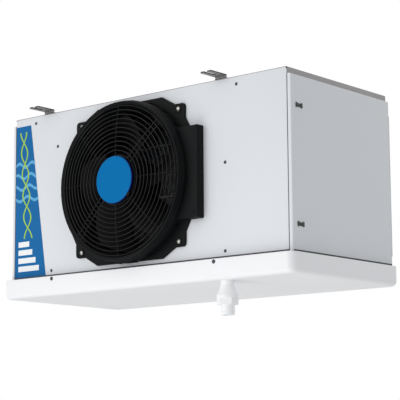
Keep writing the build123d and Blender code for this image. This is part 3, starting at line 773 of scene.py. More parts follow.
@dataclass
class Decal:
    """Plain printed decal at the left end of the fan panel: waves, a braid and bars."""

    left: float = -0.411
    top: float = -0.031
    bottom: float = -0.438
    top_right: float = -0.357
    bottom_right: float = -0.296
    front: float = -0.206
    film: float = 0.0004
    print_step: float = 0.00006
    braid_foot: float = -0.332
    first_bar: float = -0.340
    bar_pitch: float = 0.0215
    bar_height: float = 0.014
    first_wave: float = 0.105
    wave_pitch: float = 0.030

    def build(self) -> None:
        """Build the film and its prints."""
        piece = Piece("front_decal", DECAL_BLUE, nodes=("front_label",))
        outline = [
            (self.left, self.bottom),
            (self.bottom_right, self.bottom),
            (self.top_right, self.top),
            (self.left, self.top),
        ]
        piece.add(plate(outline, self.film), facing_front(0, self.front, 0))
        piece.finished()
        self.waves()
        self.braid()
        self.bars()

    def right_at(self, height: float) -> float:
        """Return where the slanted right edge is at a height.

        Args:
            height: The height.

        Returns:
            The edge's place along X.
        """
        share = (height - self.top) / (self.bottom - self.top)
        return self.top_right + (self.bottom_right - self.top_right) * share

    def braid(self) -> None:
        """Print two lime lines that cross each other again and again down the film."""
        shapes = []
        high, half = self.top - 0.016, 0.0023
        for side in (-1, 1):
            upper, lower = [], []
            for step in range(61):
                share = step / 60
                z = high + (self.braid_foot - high) * share
                x = (self.left + self.right_at(z)) / 2 - 0.002
                x += side * (0.0110 + 0.003 * share) * cos(pi * 5 * share)
                upper.append((x + half, z))
                lower.append((x - half, z))
            shapes.append(plate(lower[::-1] + upper, self.print_step * (1.5 + 0.3 * side)))
        self.printed("decal_braid", Ink("lime", (0.36, 0.62, 0.02)), shapes)

    def bars(self) -> None:
        """Print four white bars of growing length near the foot."""
        shapes = []
        for row, share in enumerate((0.40, 0.50, 0.60, 0.70)):
            z = self.first_bar - self.bar_pitch * row
            x = self.left + 0.012
            long = (self.right_at(z) - self.left) * share
            shapes.append(rounded_box((x, z - self.bar_height, 0), (x + long, z, self.print_step)))
        self.printed("decal_bars", Ink("white", (0.95, 0.96, 0.97)), shapes)

    def waves(self) -> None:
        """Print four pale waves across the middle."""
        shapes = []
        for row in range(4):
            middle = self.top - self.first_wave - self.wave_pitch * row
            upper, lower = [], []
            right = self.right_at(middle - 0.006)
            for step in range(25):
                x = self.left + (right - self.left) * step / 24
                sway = 0.0060 * sin(FULL_TURN * step / 16 + row)
                upper.append((x, middle + sway + 0.0040))
                lower.append((x, middle + sway - 0.0040))
            shapes.append(plate(lower + upper[::-1], self.print_step))
        self.printed("decal_waves", Ink("pale_blue", (0.10, 0.42, 0.72)), shapes)

    def printed(self, name: str, ink: Ink, shapes: list[bmesh.types.BMesh]) -> None:
        """Lay printed shapes on the film.

        Args:
            name: Name of the piece.
            ink: Their colour.
            shapes: Flat shapes in panel coordinates.
        """
        piece = Piece(name, DECAL_BLUE)
        for shape in shapes:
            piece.add(shape, facing_front(0, self.front - self.film, 0))
        made = piece.finished()
        made.data.materials.clear()
        made.data.materials.append(ink.material())


# ---- hanging rails ------------------------------------------------------------------------------
@dataclass
class HangingRails:
    """Two galvanised rails with a fork at each end, bolted on the top sheet."""

    x: float = 0.290
    width: float = 0.034
    thick: float = 0.003
    hang: float = 0.010
    depth: float = 0.206
    tip: float = 0.262
    slot_width: float = 0.0095
    slot_length: float = 0.036
    corner: float = 0.004
    bolt_y: float = 0.150
    bolt_across: float = 0.013
    bolt_height: float = 0.0032

    def build(self) -> None:
        """Build both rails and their bolts."""
        self.rail("rail_left", -1)
        self.rail("rail_right", 1)
        self.bolts()

    def rail(self, name: str, side: int) -> None:
        """One rail: a flat base, a short riser and a slotted fork at each end.

        Args:
            name: Name of the piece.
            side: -1 for the left rail, 1 for the right.
        """
        # The whole rail is in the darker galvanised copy: painted shade.
        piece = Piece(name, ZINC_PAINTED_SHADE, nodes=("hanging_rail_left" if side < 0 else "hanging_rail_right",))
        x = side * self.x
        t, w, y = self.thick, self.width / 2, self.depth
        piece.box((x - w, -y, -self.hang), (x + w, y, -self.hang + t), 0.0006, 2)
        for end in (-1, 1):
            fork = plate(self.fork_outline(), t, edge=0.0005)
            turn = Matrix.Rotation(0.0 if end > 0 else pi, 4, "Z")
            piece.add(fork, Matrix.Translation((x, 0, -t)) @ turn)
            near, far = sorted((end * (y - t), end * y))
            piece.box((x - w, near, -self.hang), (x + w, far, 0), 0.0008, 2)
        root = y + 0.001
        made = piece.finished()
        # The forks' cut edges get the near-black galvanised copy.
        repaint(made, ZINC_SHADOW_AND_CUT_EDGE, lambda face: abs(face.normal.z) < 0.3 and abs(face.center.y) > root)

    def fork_outline(self) -> list[Point]:
        """Return the outline of a fork that opens towards +Y.

        Returns:
            The points round the fork.
        """
        w, half_slot = self.width / 2, self.slot_width / 2
        root = self.tip - self.slot_length + half_slot
        near = self.depth - self.thick
        c = self.corner
        right = arc((w - c, self.tip - c), c, 0, pi / 2, 5)
        inner = arc((0, root), half_slot, 0, -pi, 12)
        left = arc((-w + c, self.tip - c), c, pi / 2, pi, 5)
        return [(-w, near), (w, near), *right, (half_slot, self.tip), *inner, (-half_slot, self.tip), *left]

    def bolts(self) -> None:
        """Hexagon heads."""
        piece = Piece("rail_bolt_heads", SCREW_ZINC, nodes=("rail_bolts",))
        radius = self.bolt_across / 2 / cos(pi / 6)
        for x in (-self.x, self.x):
            for y in (-self.bolt_y, self.bolt_y):
                place = Matrix.Translation((x, y, -self.hang + self.thick))
                piece.add(hexagon(radius, self.bolt_height), place)
        piece.finished()


def hexagon(radius: float, height: float, bore: float = 0.0) -> bmesh.types.BMesh:
    """Make a hexagonal head or nut body with softened corners.

    Args:
        radius: Radius over the corners.
        height: Height along Z.
        bore: Radius of a hole through it, or 0.

    Returns:
        A new mesh that stands on the XY plane.
    """
    outline = arc((0, 0), radius, pi / 6, pi / 6 + FULL_TURN, 6)[:-1]
    holes = ((0.0, 0.0, bore),) if bore else ()
    return plate(outline, height, holes, edge=min(height, radius) * 0.12)


# ---- side covers --------------------------------------------------------------------------------
@dataclass
class SideCover:
    """Shallow folded tray over an end compartment, with its screws, on hinge ears at the rear."""

    node: str
    screw_node: str
    body: Body
    side: int
    end: float
    front: float = -0.206
    back: float = 0.202
    top: float = -0.027
    bottom: float = -0.439
    depth: float = 0.012
    gap: float = 0.0004
    gap_shadow: float = 0.0022
    gap_shadow_width: float = 0.0034
    foot_shadow_height: float = 0.0038
    sheet: float = 0.0015
    fold: float = 0.0040
    ear_front: float = 0.1938
    ear_back: float = 0.2002
    ear_thick: float = 0.003
    screw_y: float = -0.176
    screw_heights: tuple[float, float] = (-0.099, -0.375)

    def build(self) -> None:
        """Build the tray with its ears, its strips of painted shadow and its screws."""
        piece = Piece(self.node + "_tray", POWDER_COAT, self.body, (self.node,))
        inner = self.end + self.side * (self.gap + self.gap_shadow)
        outer = self.end + self.side * self.depth
        piece.add(self.tray(inner, outer))
        for low, high in self.ears():
            piece.box(low, high, 0.0004, 1)
        piece.finished()
        self.gap_shadows(outer)
        self.screws(outer)

    def gap_shadows(self, outer: float) -> None:
        """Two grey strips of painted shadow: one along the foot of the tray, one on the casing behind its
        front edge.

        Args:
            outer: Place of the tray's outer face.
        """
        lip = Piece(self.node + "_foot_shadow", GAP_SHADOW, self.body)
        near, far = sorted((outer - self.side * 0.001, outer + self.side * 0.0007))
        foot = self.bottom + 0.001
        front, back = self.front + self.fold, self.back - self.fold
        lip.box((near, front, foot), (far, back, foot + self.foot_shadow_height), 0.0004, 1)
        lip.finished()
        strip = Piece(self.node + "_gap_shadow", GAP_SHADOW)
        near, far = sorted((self.end + self.side * 0.0001, self.end + self.side * self.gap_shadow))
        front = self.front + 0.0006
        strip.box((near, front, self.bottom), (far, front + self.gap_shadow_width, self.top))
        strip.finished()

    def screws(self, outer: float) -> None:
        """Hand screws with two wings each.

        Args:
            outer: Place of the tray's outer face.
        """
        screws = Piece(self.screw_node + "_heads", SCREW_DARK, self.body, (self.screw_node,))
        for z in self.screw_heights:
            place = facing_side(outer, self.screw_y, z, self.side)
            PanHead(0.0050, 0.0024).add_to(screws, place)
            for turn in (-pi / 2, pi / 2):
                screws.add(self.wing(), place @ Matrix.Rotation(turn, 4, "Z"))
        screws.finished()

    def wing(self) -> bmesh.types.BMesh:
        """Return one wing of a hand screw, towards its own +X.

        Returns:
            A new mesh.
        """
        half = [(0.0042, 0.0030), (0.0095, 0.0062), (0.0125, 0.0050)]
        return plate([(x, -y) for x, y in half] + half[::-1], 0.0022, edge=0.0006)

    def tray(self, inner: float, outer: float) -> bmesh.types.BMesh:
        """Return the folded tray: a box without its inner face, given the sheet's thickness.

        Args:
            inner: Place of the open side.
            outer: Place of the outer face.

        Returns:
            A new mesh.
        """
        low, high = min(inner, outer), max(inner, outer)
        shape = rounded_box((low, self.front, self.bottom), (high, self.back, self.top))
        face_edges = [e for e in shape.edges if all(abs(v.co.x - outer) < 1e-6 for v in e.verts)]
        round_edges(shape, face_edges, self.fold, 3)
        bmesh.ops.recalc_face_normals(shape, faces=shape.faces[:])
        away = Vector((-self.side, 0, 0))
        open_face = [f for f in shape.faces if f.normal.dot(away) > 0.99]
        rear = [f for f in shape.faces if f.normal.y > 0.99]
        bmesh.ops.delete(shape, geom=open_face + rear, context="FACES")
        bmesh.ops.solidify(shape, geom=shape.faces[:], thickness=self.sheet)
        wall = rounded_box(
            (min(outer - self.side * 0.008, outer), self.back - self.sheet, self.bottom + 0.024),
            (max(outer - self.side * 0.008, outer), self.back, self.top - 0.038),
        )
        carrier = bpy.data.meshes.new("carrier")
        wall.to_mesh(carrier)
        wall.free()
        shape.from_mesh(carrier)
        bpy.data.meshes.remove(carrier)
        return shape

    def ears(self) -> list[tuple[Place, Place]]:
        """Return the corners of the two hinge ears.

        Returns:
            The lowest and the highest corner of each.
        """
        found = []
        pin = self.end + self.side * 0.007
        wall = self.end + self.side * (self.depth - self.sheet)
        for z in (self.top - 0.031, self.bottom + 0.014):
            x0, x1 = sorted((pin, wall))
            found.append(((x0, self.ear_front, z), (x1, self.ear_back, z + self.ear_thick)))
        return found


# ---- drain pan ----------------------------------------------------------------------------------
@dataclass
class DrainPan:
    """Moulded pan with rounded edges, its outlet, coupling nut, heater, knuckles and screws."""

    wall: float = 0.003
    corner: float = 0.020
    base_radius: float = 0.014
    lip: float = 0.0014
    drain_x: float = 0.296
    drain_y: float = -0.194
    screw_x: tuple[float, float] = (-0.256, 0.280)
    screw_drop: float = 0.007
    thread_pitch: float = 0.0028
    thread_depth: float = 0.0012

    def build(self) -> None:
        """Build every piece that swings with the pan."""
        self.tray()
        self.outlet()
        self.nut()
        self.screws()
        self.heater()
        dress("pan_knuckles", PAN_PLASTIC)
        dress("pan_hinge_lugs", ZINC)

    def tray(self) -> None:
        """Open tray: rounded box without its top, walls and a slim bead round the lip."""
        piece = Piece("pan_tray", PAN_PLASTIC, Body.PAN, ("drain_pan",))
        low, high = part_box("drain_pan")
        shape = rounded_box(tuple(low), tuple(high))
        upright = [e for e in shape.edges if abs(e.verts[0].co.z - e.verts[1].co.z) > 0.01]
        round_edges(shape, upright, self.corner, 8)
        base = [e for e in shape.edges if all(v.co.z < low.z + 1e-6 for v in e.verts)]
        round_edges(shape, base, self.base_radius, 8)
        bmesh.ops.recalc_face_normals(shape, faces=shape.faces[:])
        bmesh.ops.delete(shape, geom=[f for f in shape.faces if f.normal.z > 0.99], context="FACES")
        bmesh.ops.solidify(shape, geom=shape.faces[:], thickness=self.wall)
        rim = [e for e in shape.edges if all(v.co.z > high.z - 1e-6 for v in e.verts) and sharp(e)]
        round_edges(shape, rim, self.lip, 3)
        piece.add(shape)
        piece.finished()

    def outlet(self) -> None:
        """Outlet: flange in the pan, pipe through the floor and a threaded end."""
        piece = Piece("outlet_pipe", DRAIN_PLASTIC, Body.PAN, ("drain_spigot",))
        low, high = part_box("drain_spigot")
        bore, pipe_r, thread_r, flange_r = 0.0125, 0.016, 0.0173, 0.020
        root = thread_r - self.thread_depth
        top = high.z - low.z
        profile = [
            (bore, 0.0005),
            (bore + 0.0005, 0.0),
            (root - 0.0008, 0.0),
            (root, 0.0008),
            (root, 0.0240),
            (pipe_r, 0.0240),
            (pipe_r, top - 0.0025),
            (flange_r, top - 0.0025),
            (flange_r, top - 0.0005),
            (flange_r - 0.0005, top),
            (bore, top),
        ]
        place = Matrix.Translation((self.drain_x, self.drain_y, low.z))
        piece.add(turned(profile, 64, closed=True), place)
        piece.add(self.thread(root, 0.0012, 0.0215), place)
        piece.finished()

    def thread(self, root: float, start: float, end: float) -> bmesh.types.BMesh:
        """Return a helical ridge.

        Args:
            root: Radius at the foot of the ridge.
            start: Height where it starts.
            end: Height where it ends.

        Returns:
            A new mesh.
        """
        shape = bmesh.new()
        p = self.thread_pitch
        crest, foot = root + self.thread_depth * 0.8, root - 0.0003
        section = [(foot, 0.0), (crest, p * 0.32), (crest, p * 0.46), (foot, p * 0.8)]
        verts = [shape.verts.new((r, 0, start + h)) for r, h in section]
        face = shape.faces.new(verts)
        turns = (end - start - p) / p
        steps = int(turns * 40)
        bmesh.ops.spin(
            shape,
            geom=[face, *face.edges, *verts],
            cent=(0, 0, 0),
            axis=(0, 0, 1),
            dvec=(0, 0, p * turns / steps),
            angle=FULL_TURN * turns,
            steps=steps,
        )
        return shape

    def nut(self) -> None:
        """Coupling nut: a flared skirt over a hexagon with grip flats."""
        piece = Piece("coupling_nut", DRAIN_PLASTIC, Body.PAN, ("drain_nut",))
        low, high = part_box("drain_nut")
        bore = 0.0161
        hex_high = 0.0165
        place = Matrix.Translation((self.drain_x, self.drain_y, low.z))
        piece.add(hexagon(0.0222 / cos(pi / 6), hex_high, bore), place)
        tall = high.z - low.z
        skirt = [
            (bore, hex_high - 0.001),
            (0.0250, hex_high - 0.001),
            (0.0257, hex_high),
            (0.0257, hex_high + 0.006),
            (0.0250, hex_high + 0.007),
            (0.0215, hex_high + 0.014),
            (0.0188, hex_high + 0.021),
            (0.0180, hex_high + 0.024),
            (0.0178, tall - 0.001),
            (0.0170, tall),
            (bore, tall),
        ]
        piece.add(turned(skirt, 72, closed=True), place)
        piece.finished()

    def screws(self) -> None:
        """Two pan heads in the front wall."""
        piece = Piece("pan_screw_heads", SCREW_DARK, Body.PAN, ("pan_screws",))
        low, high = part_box("drain_pan")
        for x in self.screw_x:
            PanHead(0.005, 0.002).add_to(piece, facing_front(x, low.y, high.z - self.screw_drop))
        piece.finished()

    def heater(self) -> None:
        """Hairpin heater with round bends."""
        piece = Piece("pan_heater_rod", SHEATH, Body.PAN, ("pan_heater",))
        low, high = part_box("pan_heater")
        radius = (high.z - low.z) / 2
        z = (high.z + low.z) / 2
        y = high.y - radius
        bend = 0.030
        near = low.x + radius
        route = [Vector((high.x, -y, z))]
        for centre_y, first in ((-y + bend, -pi / 2), (y - bend, pi)):
            points = arc((near + bend, centre_y), bend, first, first - pi / 2, 8)
            route += [Vector((px, py, z)) for px, py in points]
        route.append(Vector((high.x, y, z)))
        piece.add(pipe(route, radius, 14))
        piece.finished()


# ---- fan ----------------------------------------------------------------------------------------
@dataclass
class FanRing:
    """Moulded ring: screw plate with four ears, stepped rim, nozzle and guard seats."""

    front: float = -0.206
    height: float = -0.226
    rim: float = 0.201
    rim_out: float = 0.047
    nozzle: float = 0.178
    plate_thick: float = 0.006
    pitch: float = 0.162
    seat_angles: tuple[int, ...] = (45, 135, 225, 315)
    seat_out: float = 0.041
    housing_side: float = 0.236

    def build(self) -> None:
        """Build the ring with its plate, its screws and the wiring housing."""
        piece = Piece("fan_ring", RING_PLASTIC, nodes=("fan_shroud",))
        axis = facing_front(0, self.front, self.height)
        piece.add(self.screw_plate(), axis)
        piece.add(turned(self.profile(), 160, closed=True), axis)
        ears = [axis @ Matrix.Translation(self.ear(corner)) for corner in self.seat_angles]
        inner, outer, front = 0.0066, 0.0098, 0.0016
        collar = [(inner, -0.002), (outer, -0.002), (outer, 0.0010), (outer - 0.0006, front), (inner, front)]
        for place in ears:
            piece.add(turned(collar, 32, closed=True), place)
        for angle in self.seat_angles:
            piece.add(self.seat(), axis @ Matrix.Rotation(radians(angle), 4, "Z"))
        for angle in range(0, 360, 15):
            piece.add(self.web(), axis @ Matrix.Rotation(radians(angle + 7.5), 4, "Z"))
        piece.finished()
        screws = Piece("ring_screw_heads", SCREW_ZINC, nodes=("shroud_screws",))
        for place in ears:
            PanHead(0.0055, 0.003).add_to(screws, place)
        screws.finished()
        self.wiring_housing()

    def ear(self, angle: int) -> Place:
        """Return the screw's seat on an ear, from the fan centre.

        Args:
            angle: Direction of the ear in degrees.

        Returns:
            The seat in the fan's own axes.
        """
        reach = self.pitch * sqrt(2)
        return (reach * cos(radians(angle)), reach * sin(radians(angle)), self.plate_thick)

    def screw_plate(self) -> bmesh.types.BMesh:
        """Return the plate: flats above and below, flared sides and rounded ears.

        Returns:
            A new mesh.
        """
        c = 0.009
        ear = arc((0.182 - c, 0.175 - c), c, 0, pi / 2, 5)
        quarter = [(0.197, 0.112), (0.182, 0.139), *ear, (0.150, 0.175), (0.108, 0.199)]
        upper = quarter + [(-x, y) for x, y in reversed(quarter)]
        outline = upper + [(x, -y) for x, y in reversed(upper)]
        return plate(outline, self.plate_thick, ((0.0, 0.0, self.rim - 0.008),), edge=0.0016)

    def profile(self) -> list[Point]:
        """Return the ring's section.

        Returns:
            Points as radius and distance out.
        """
        flare = []
        for step in range(9):
            share = step / 8
            ease = share * share * (3 - 2 * share)
            flare.append((self.nozzle + 0.0135 * share**1.6, 0.018 + (self.rim_out - 0.020) * ease))
        steps = [
            (self.rim - 0.0052, self.rim_out),
            (self.rim - 0.0040, self.rim_out - 0.0006),
            (self.rim - 0.0034, self.rim_out - 0.0020),
            (self.rim - 0.0034, self.rim_out - 0.0064),
            (self.rim - 0.0018, self.rim_out - 0.0070),
            (self.rim - 0.0016, self.rim_out - 0.0078),
            (self.rim - 0.0016, self.rim_out - 0.0130),
            (self.rim - 0.0004, self.rim_out - 0.0136),
            (self.rim, self.rim_out - 0.0146),
        ]
        inside = [(self.nozzle, -0.052), *flare, (self.rim - 0.0060, self.rim_out - 0.0004)]
        return [*inside, *steps, (self.rim, 0.0), (self.nozzle + 0.004, 0.0), (self.nozzle + 0.004, -0.052)]

    def seat(self) -> bmesh.types.BMesh:
        """Return a seat for the guard on the +X side of the ring.

        Returns:
            A new mesh.
        """
        outline = [(0.180, -0.020), (0.1935, -0.0145), (0.1935, 0.0145), (0.180, 0.020)]
        seat = plate(outline, 0.011, edge=0.0010)
        bmesh.ops.translate(seat, vec=(0, 0, self.seat_out - 0.011), verts=seat.verts[:])
        return seat

    def web(self) -> bmesh.types.BMesh:
        """Return a slim web between the plate and the outside of the rim.

        Returns:
            A new mesh.
        """
        low, high = (self.rim - 0.001, -0.0011, 0.002), (self.rim + 0.0022, 0.0011, 0.024)
        return rounded_box(low, high, 0.0006, 1)

    def wiring_housing(self) -> None:
        """Housing beside the rim, with a lid, a seam and two lid screws."""
        piece = Piece("wiring_housing", RING_PLASTIC, nodes=("terminal_box",))
        reach = self.rim + 0.0004
        high = 0.112
        end = asin(high / reach)
        side = self.housing_side
        hug = arc((0, 0), reach, end, -end, 24)
        c = 0.003
        corners = [*arc((side - c, -high + c), c, -pi / 2, 0, 4), *arc((side - c, high - c), c, 0, pi / 2, 4)]
        axis = facing_front(0, self.front, self.height)
        piece.add(plate([*hug, *corners], 0.0175, edge=0.0008), axis)
        inset = 0.0006
        lid_high, lid_side = high - inset, side - inset
        first, last = asin(lid_high / (reach + inset)), -asin(lid_high / reach)
        lid_hug = arc((0, 0), reach + inset, first, last, 24)
        lid = [*lid_hug, (lid_side, -lid_high), (lid_side, lid_high)]
        piece.add(plate(lid, 0.0064, edge=0.0018), axis @ Matrix.Translation((0, 0, 0.0176)))
        piece.finished()
        screws = Piece("housing_screws", MOTOR_PAINT)
        for y in (-0.098, 0.098):
            place = axis @ Matrix.Translation((side - 0.011, y, 0.0238))
            screws.add(turned([(0, 0.0002), (0.0022, 0.0002), (0.0026, 0.0), (0, 0.0)], 20), place)
        screws.finished()


@dataclass
class Guard:
    """Wire guard: concentric rings domed over the fan, welded on radial wires."""

    front: float = -0.206
    height: float = -0.226
    first: float = 0.073
    pitch: float = 0.0113
    count: int = 11
    wire: float = 0.003
    drawn: float = 0.0024
    edge_out: float = 0.047
    rise: float = 0.011
    tip: float = 0.188
    hub: float = 0.056
    single_angles: tuple[int, ...] = (0, 90, 135, 180, 270, 315)
    paired_angles: tuple[int, ...] = (45, 225)
    pair_gap: float = 0.014

    def build(self) -> None:
        """Build rings and radial wires as one welded guard."""
        piece = Piece("wire_guard", WIRE_COAT, nodes=("fan_guard",))
        axis = facing_front(0, self.front, self.height)
        radius = self.drawn / 2
        for index in range(self.count):
            middle = self.first + self.pitch * index
            level = self.level(middle) - self.wire / 2
            ring = arc((middle, level), radius, 0, FULL_TURN, 10)[:-1]
            piece.add(turned(ring, 120, closed=True), axis)
        for angle in self.single_angles:
            piece.add(self.spoke(0.0, self.drawn * 0.36), axis @ Matrix.Rotation(radians(angle), 4, "Z"))
        for angle in self.paired_angles:
            for offset in (-self.pair_gap / 2, self.pair_gap / 2):
                piece.add(self.spoke(offset, radius), axis @ Matrix.Rotation(radians(angle), 4, "Z"))
        piece.finished()

    def level(self, radius: float) -> float:
        """Return how far out the front of the guard stands at a radius.

        Args:
            radius: Distance from the fan axis.

        Returns:
            The distance out.
        """
        share = (radius - self.first) / (self.pitch * (self.count - 1))
        share = min(max(share, 0.0), 1.0)
        return self.edge_out + self.rise * (1 - share**2)

    def spoke(self, offset: float, radius: float) -> bmesh.types.BMesh:
        """Return a radial wire along +X, behind the rings.

        Args:
            offset: Distance of the wire from the centre line.
            radius: Radius of the wire.

        Returns:
            A new mesh.
        """
        stations = [self.hub + (self.tip - self.hub) * step / 12 for step in range(13)]
        drop = self.wire / 2 + self.drawn * 0.45 + radius
        route = [Vector((r, offset, self.level(r) - drop)) for r in stations]
        return pipe(route, radius, 10)


@dataclass
class Motor:
    """Outer-rotor motor: fixed can and flange with the cap in front, turning hub behind."""

    front: float = -0.206
    height: float = -0.226
    hub: float = 0.058
    shaft: float = 0.008
    cap: float = 0.059
    cap_back: float = 0.056
    cap_thick: float = 0.006

    def build(self) -> None:
        """Build can, cap, clip and rotor hub."""
        axis = facing_front(0, self.front, self.height)
        can = Piece("motor_can", MOTOR_PAINT, nodes=("motor_stator",))
        seat = 0.052
        profile = [
            (0, self.cap_back),
            (0.0525, self.cap_back),
            (0.0540, self.cap_back - 0.0015),
            (0.0540, seat),
            (0.0632, seat),
            (0.0640, seat - 0.0008),
            (0.0640, seat - 0.0040),
            (0.0540, seat - 0.0040),
            (0.0540, 0.0285),
            (0.0525, 0.0270),
            (self.shaft, 0.0270),
            (self.shaft, -0.0615),
            (self.shaft - 0.0008, -0.0620),
            (0, -0.0620),
        ]
        can.add(turned(profile, 96), axis)
        can.finished()
        self.front_cap(axis)
        self.rotor(axis)

    def front_cap(self, axis: Matrix) -> None:
        """Round cap: softened edge, a shallow step round its face and a clip at its rim.

        Args:
            axis: Place of the fan axis at the panel.
        """
        out = self.cap_back + self.cap_thick
        piece = Piece("blue_front_cap", CAP_BLUE, nodes=("fan_cap",))
        r = self.cap
        profile = [
            (0, out - 0.0004),
            (r - 0.012, out - 0.0003),
            (r - 0.0080, out - 0.0002),
            (r - 0.0068, out),
            (r - 0.0026, out - 0.0002),
            (r - 0.0008, out - 0.0012),
            (r, out - 0.0028),
            (r, self.cap_back),
            (0, self.cap_back),
        ]
        piece.add(turned(profile, 120), axis)
        # The cap's rim faces get a dark navy copy of its blue: painted shade.
        repaint(piece.finished(), CAP_EDGE_SHADE, lambda face: abs(face.normal.y) < 0.6)
        clip = Piece("cap_clip", MOTOR_PAINT)
        place = axis @ Matrix.Rotation(radians(-42), 4, "Z")
        clip.add(rounded_box((r - 0.004, -0.0055, 0.052), (r + 0.0052, 0.0055, 0.0605), 0.0012, 2), place)
        clip.add(rounded_box((r - 0.001, -0.0020, 0.0595), (r + 0.0030, 0.0020, 0.0615), 0.0006, 2), place)
        clip.finished()

    def rotor(self, axis: Matrix) -> None:
        """Turning can with shallow cooling ribs.

        Args:
            axis: Place of the fan axis at the panel.
        """
        piece = Piece("rotor_can", MOTOR_PAINT, Body.ROTOR, ("rotor_hub",))
        bore = self.shaft + 0.0001
        r = self.hub
        profile = [
            (bore, 0.0250),
            (r - 0.0012, 0.0250),
            (r, 0.0238),
            (r, -0.0480),
            (r - 0.0020, -0.0520),
            (r - 0.0065, -0.0540),
            (bore, -0.0540),
        ]
        piece.add(turned(profile, 96, closed=True), axis)
        for index in range(24):
            rib = rounded_box((0.022, -0.0010, -0.0552), (0.046, 0.0010, -0.0535), 0.0004, 1)
            piece.add(rib, axis @ Matrix.Rotation(FULL_TURN * index / 24, 4, "Z"))
        piece.finished()


@dataclass
class Blades:
    """Five sickle blades on the hub."""

    height: float = -0.226
    middle: float = -0.192
    root: float = 0.057
    tip: float = 0.1717
    count: int = 5
    start: float = 10.0
    thick: float = 0.0028
    camber: float = 0.07

    def build(self) -> None:
        """Build every blade as part of one piece."""
        piece = Piece("sickle_blades", BLADE_PLASTIC, Body.ROTOR, ("fan_blades",))
        for index in range(self.count):
            turn = Matrix.Rotation(radians(self.start + 360 / self.count * index), 4, "Z")
            piece.add(self.blade(), facing_front(0, self.middle, self.height) @ turn)
        piece.finished()

    def blade(self) -> bmesh.types.BMesh:
        """Return one blade along +X, its own Z pointing out of the front.

        Returns:
            A new mesh.
        """
        shape = bmesh.new()
        bmesh.ops.create_grid(shape, x_segments=18, y_segments=14, size=1.0)
        for vert in shape.verts:
            vert.co = self.surface((vert.co.x + 1) / 2, vert.co.y)
        bmesh.ops.solidify(shape, geom=shape.faces[:], thickness=self.thick)
        bmesh.ops.recalc_face_normals(shape, faces=shape.faces[:])
        rim = [edge for edge in shape.edges if sharp(edge)]
        round_edges(shape, rim, self.thick * 0.35, 2)
        return shape

    def surface(self, outward: float, across: float) -> Vector:
        """Return a point of the blade's middle surface.

        Args:
            outward: Share of the way from root to tip.
            across: Place across the chord, -1 to 1.

        Returns:
            The point in the blade's own axes.
        """
        radius = self.root + (self.tip - self.root) * outward
        swept = radians(28) * outward**2
        pitch = radians(44 - 26 * outward + 6 * outward**2)
        chord = 0.078 + 0.062 * outward - 0.022 * outward**2
        run = across * chord / 2
        bow = self.camber * chord * (1 - across**2)
        angle = swept + (run * cos(pitch) + bow * sin(pitch)) / radius
        rise = -run * sin(pitch) + bow * cos(pitch)
        return Vector((radius * cos(angle), radius * sin(angle), rise))


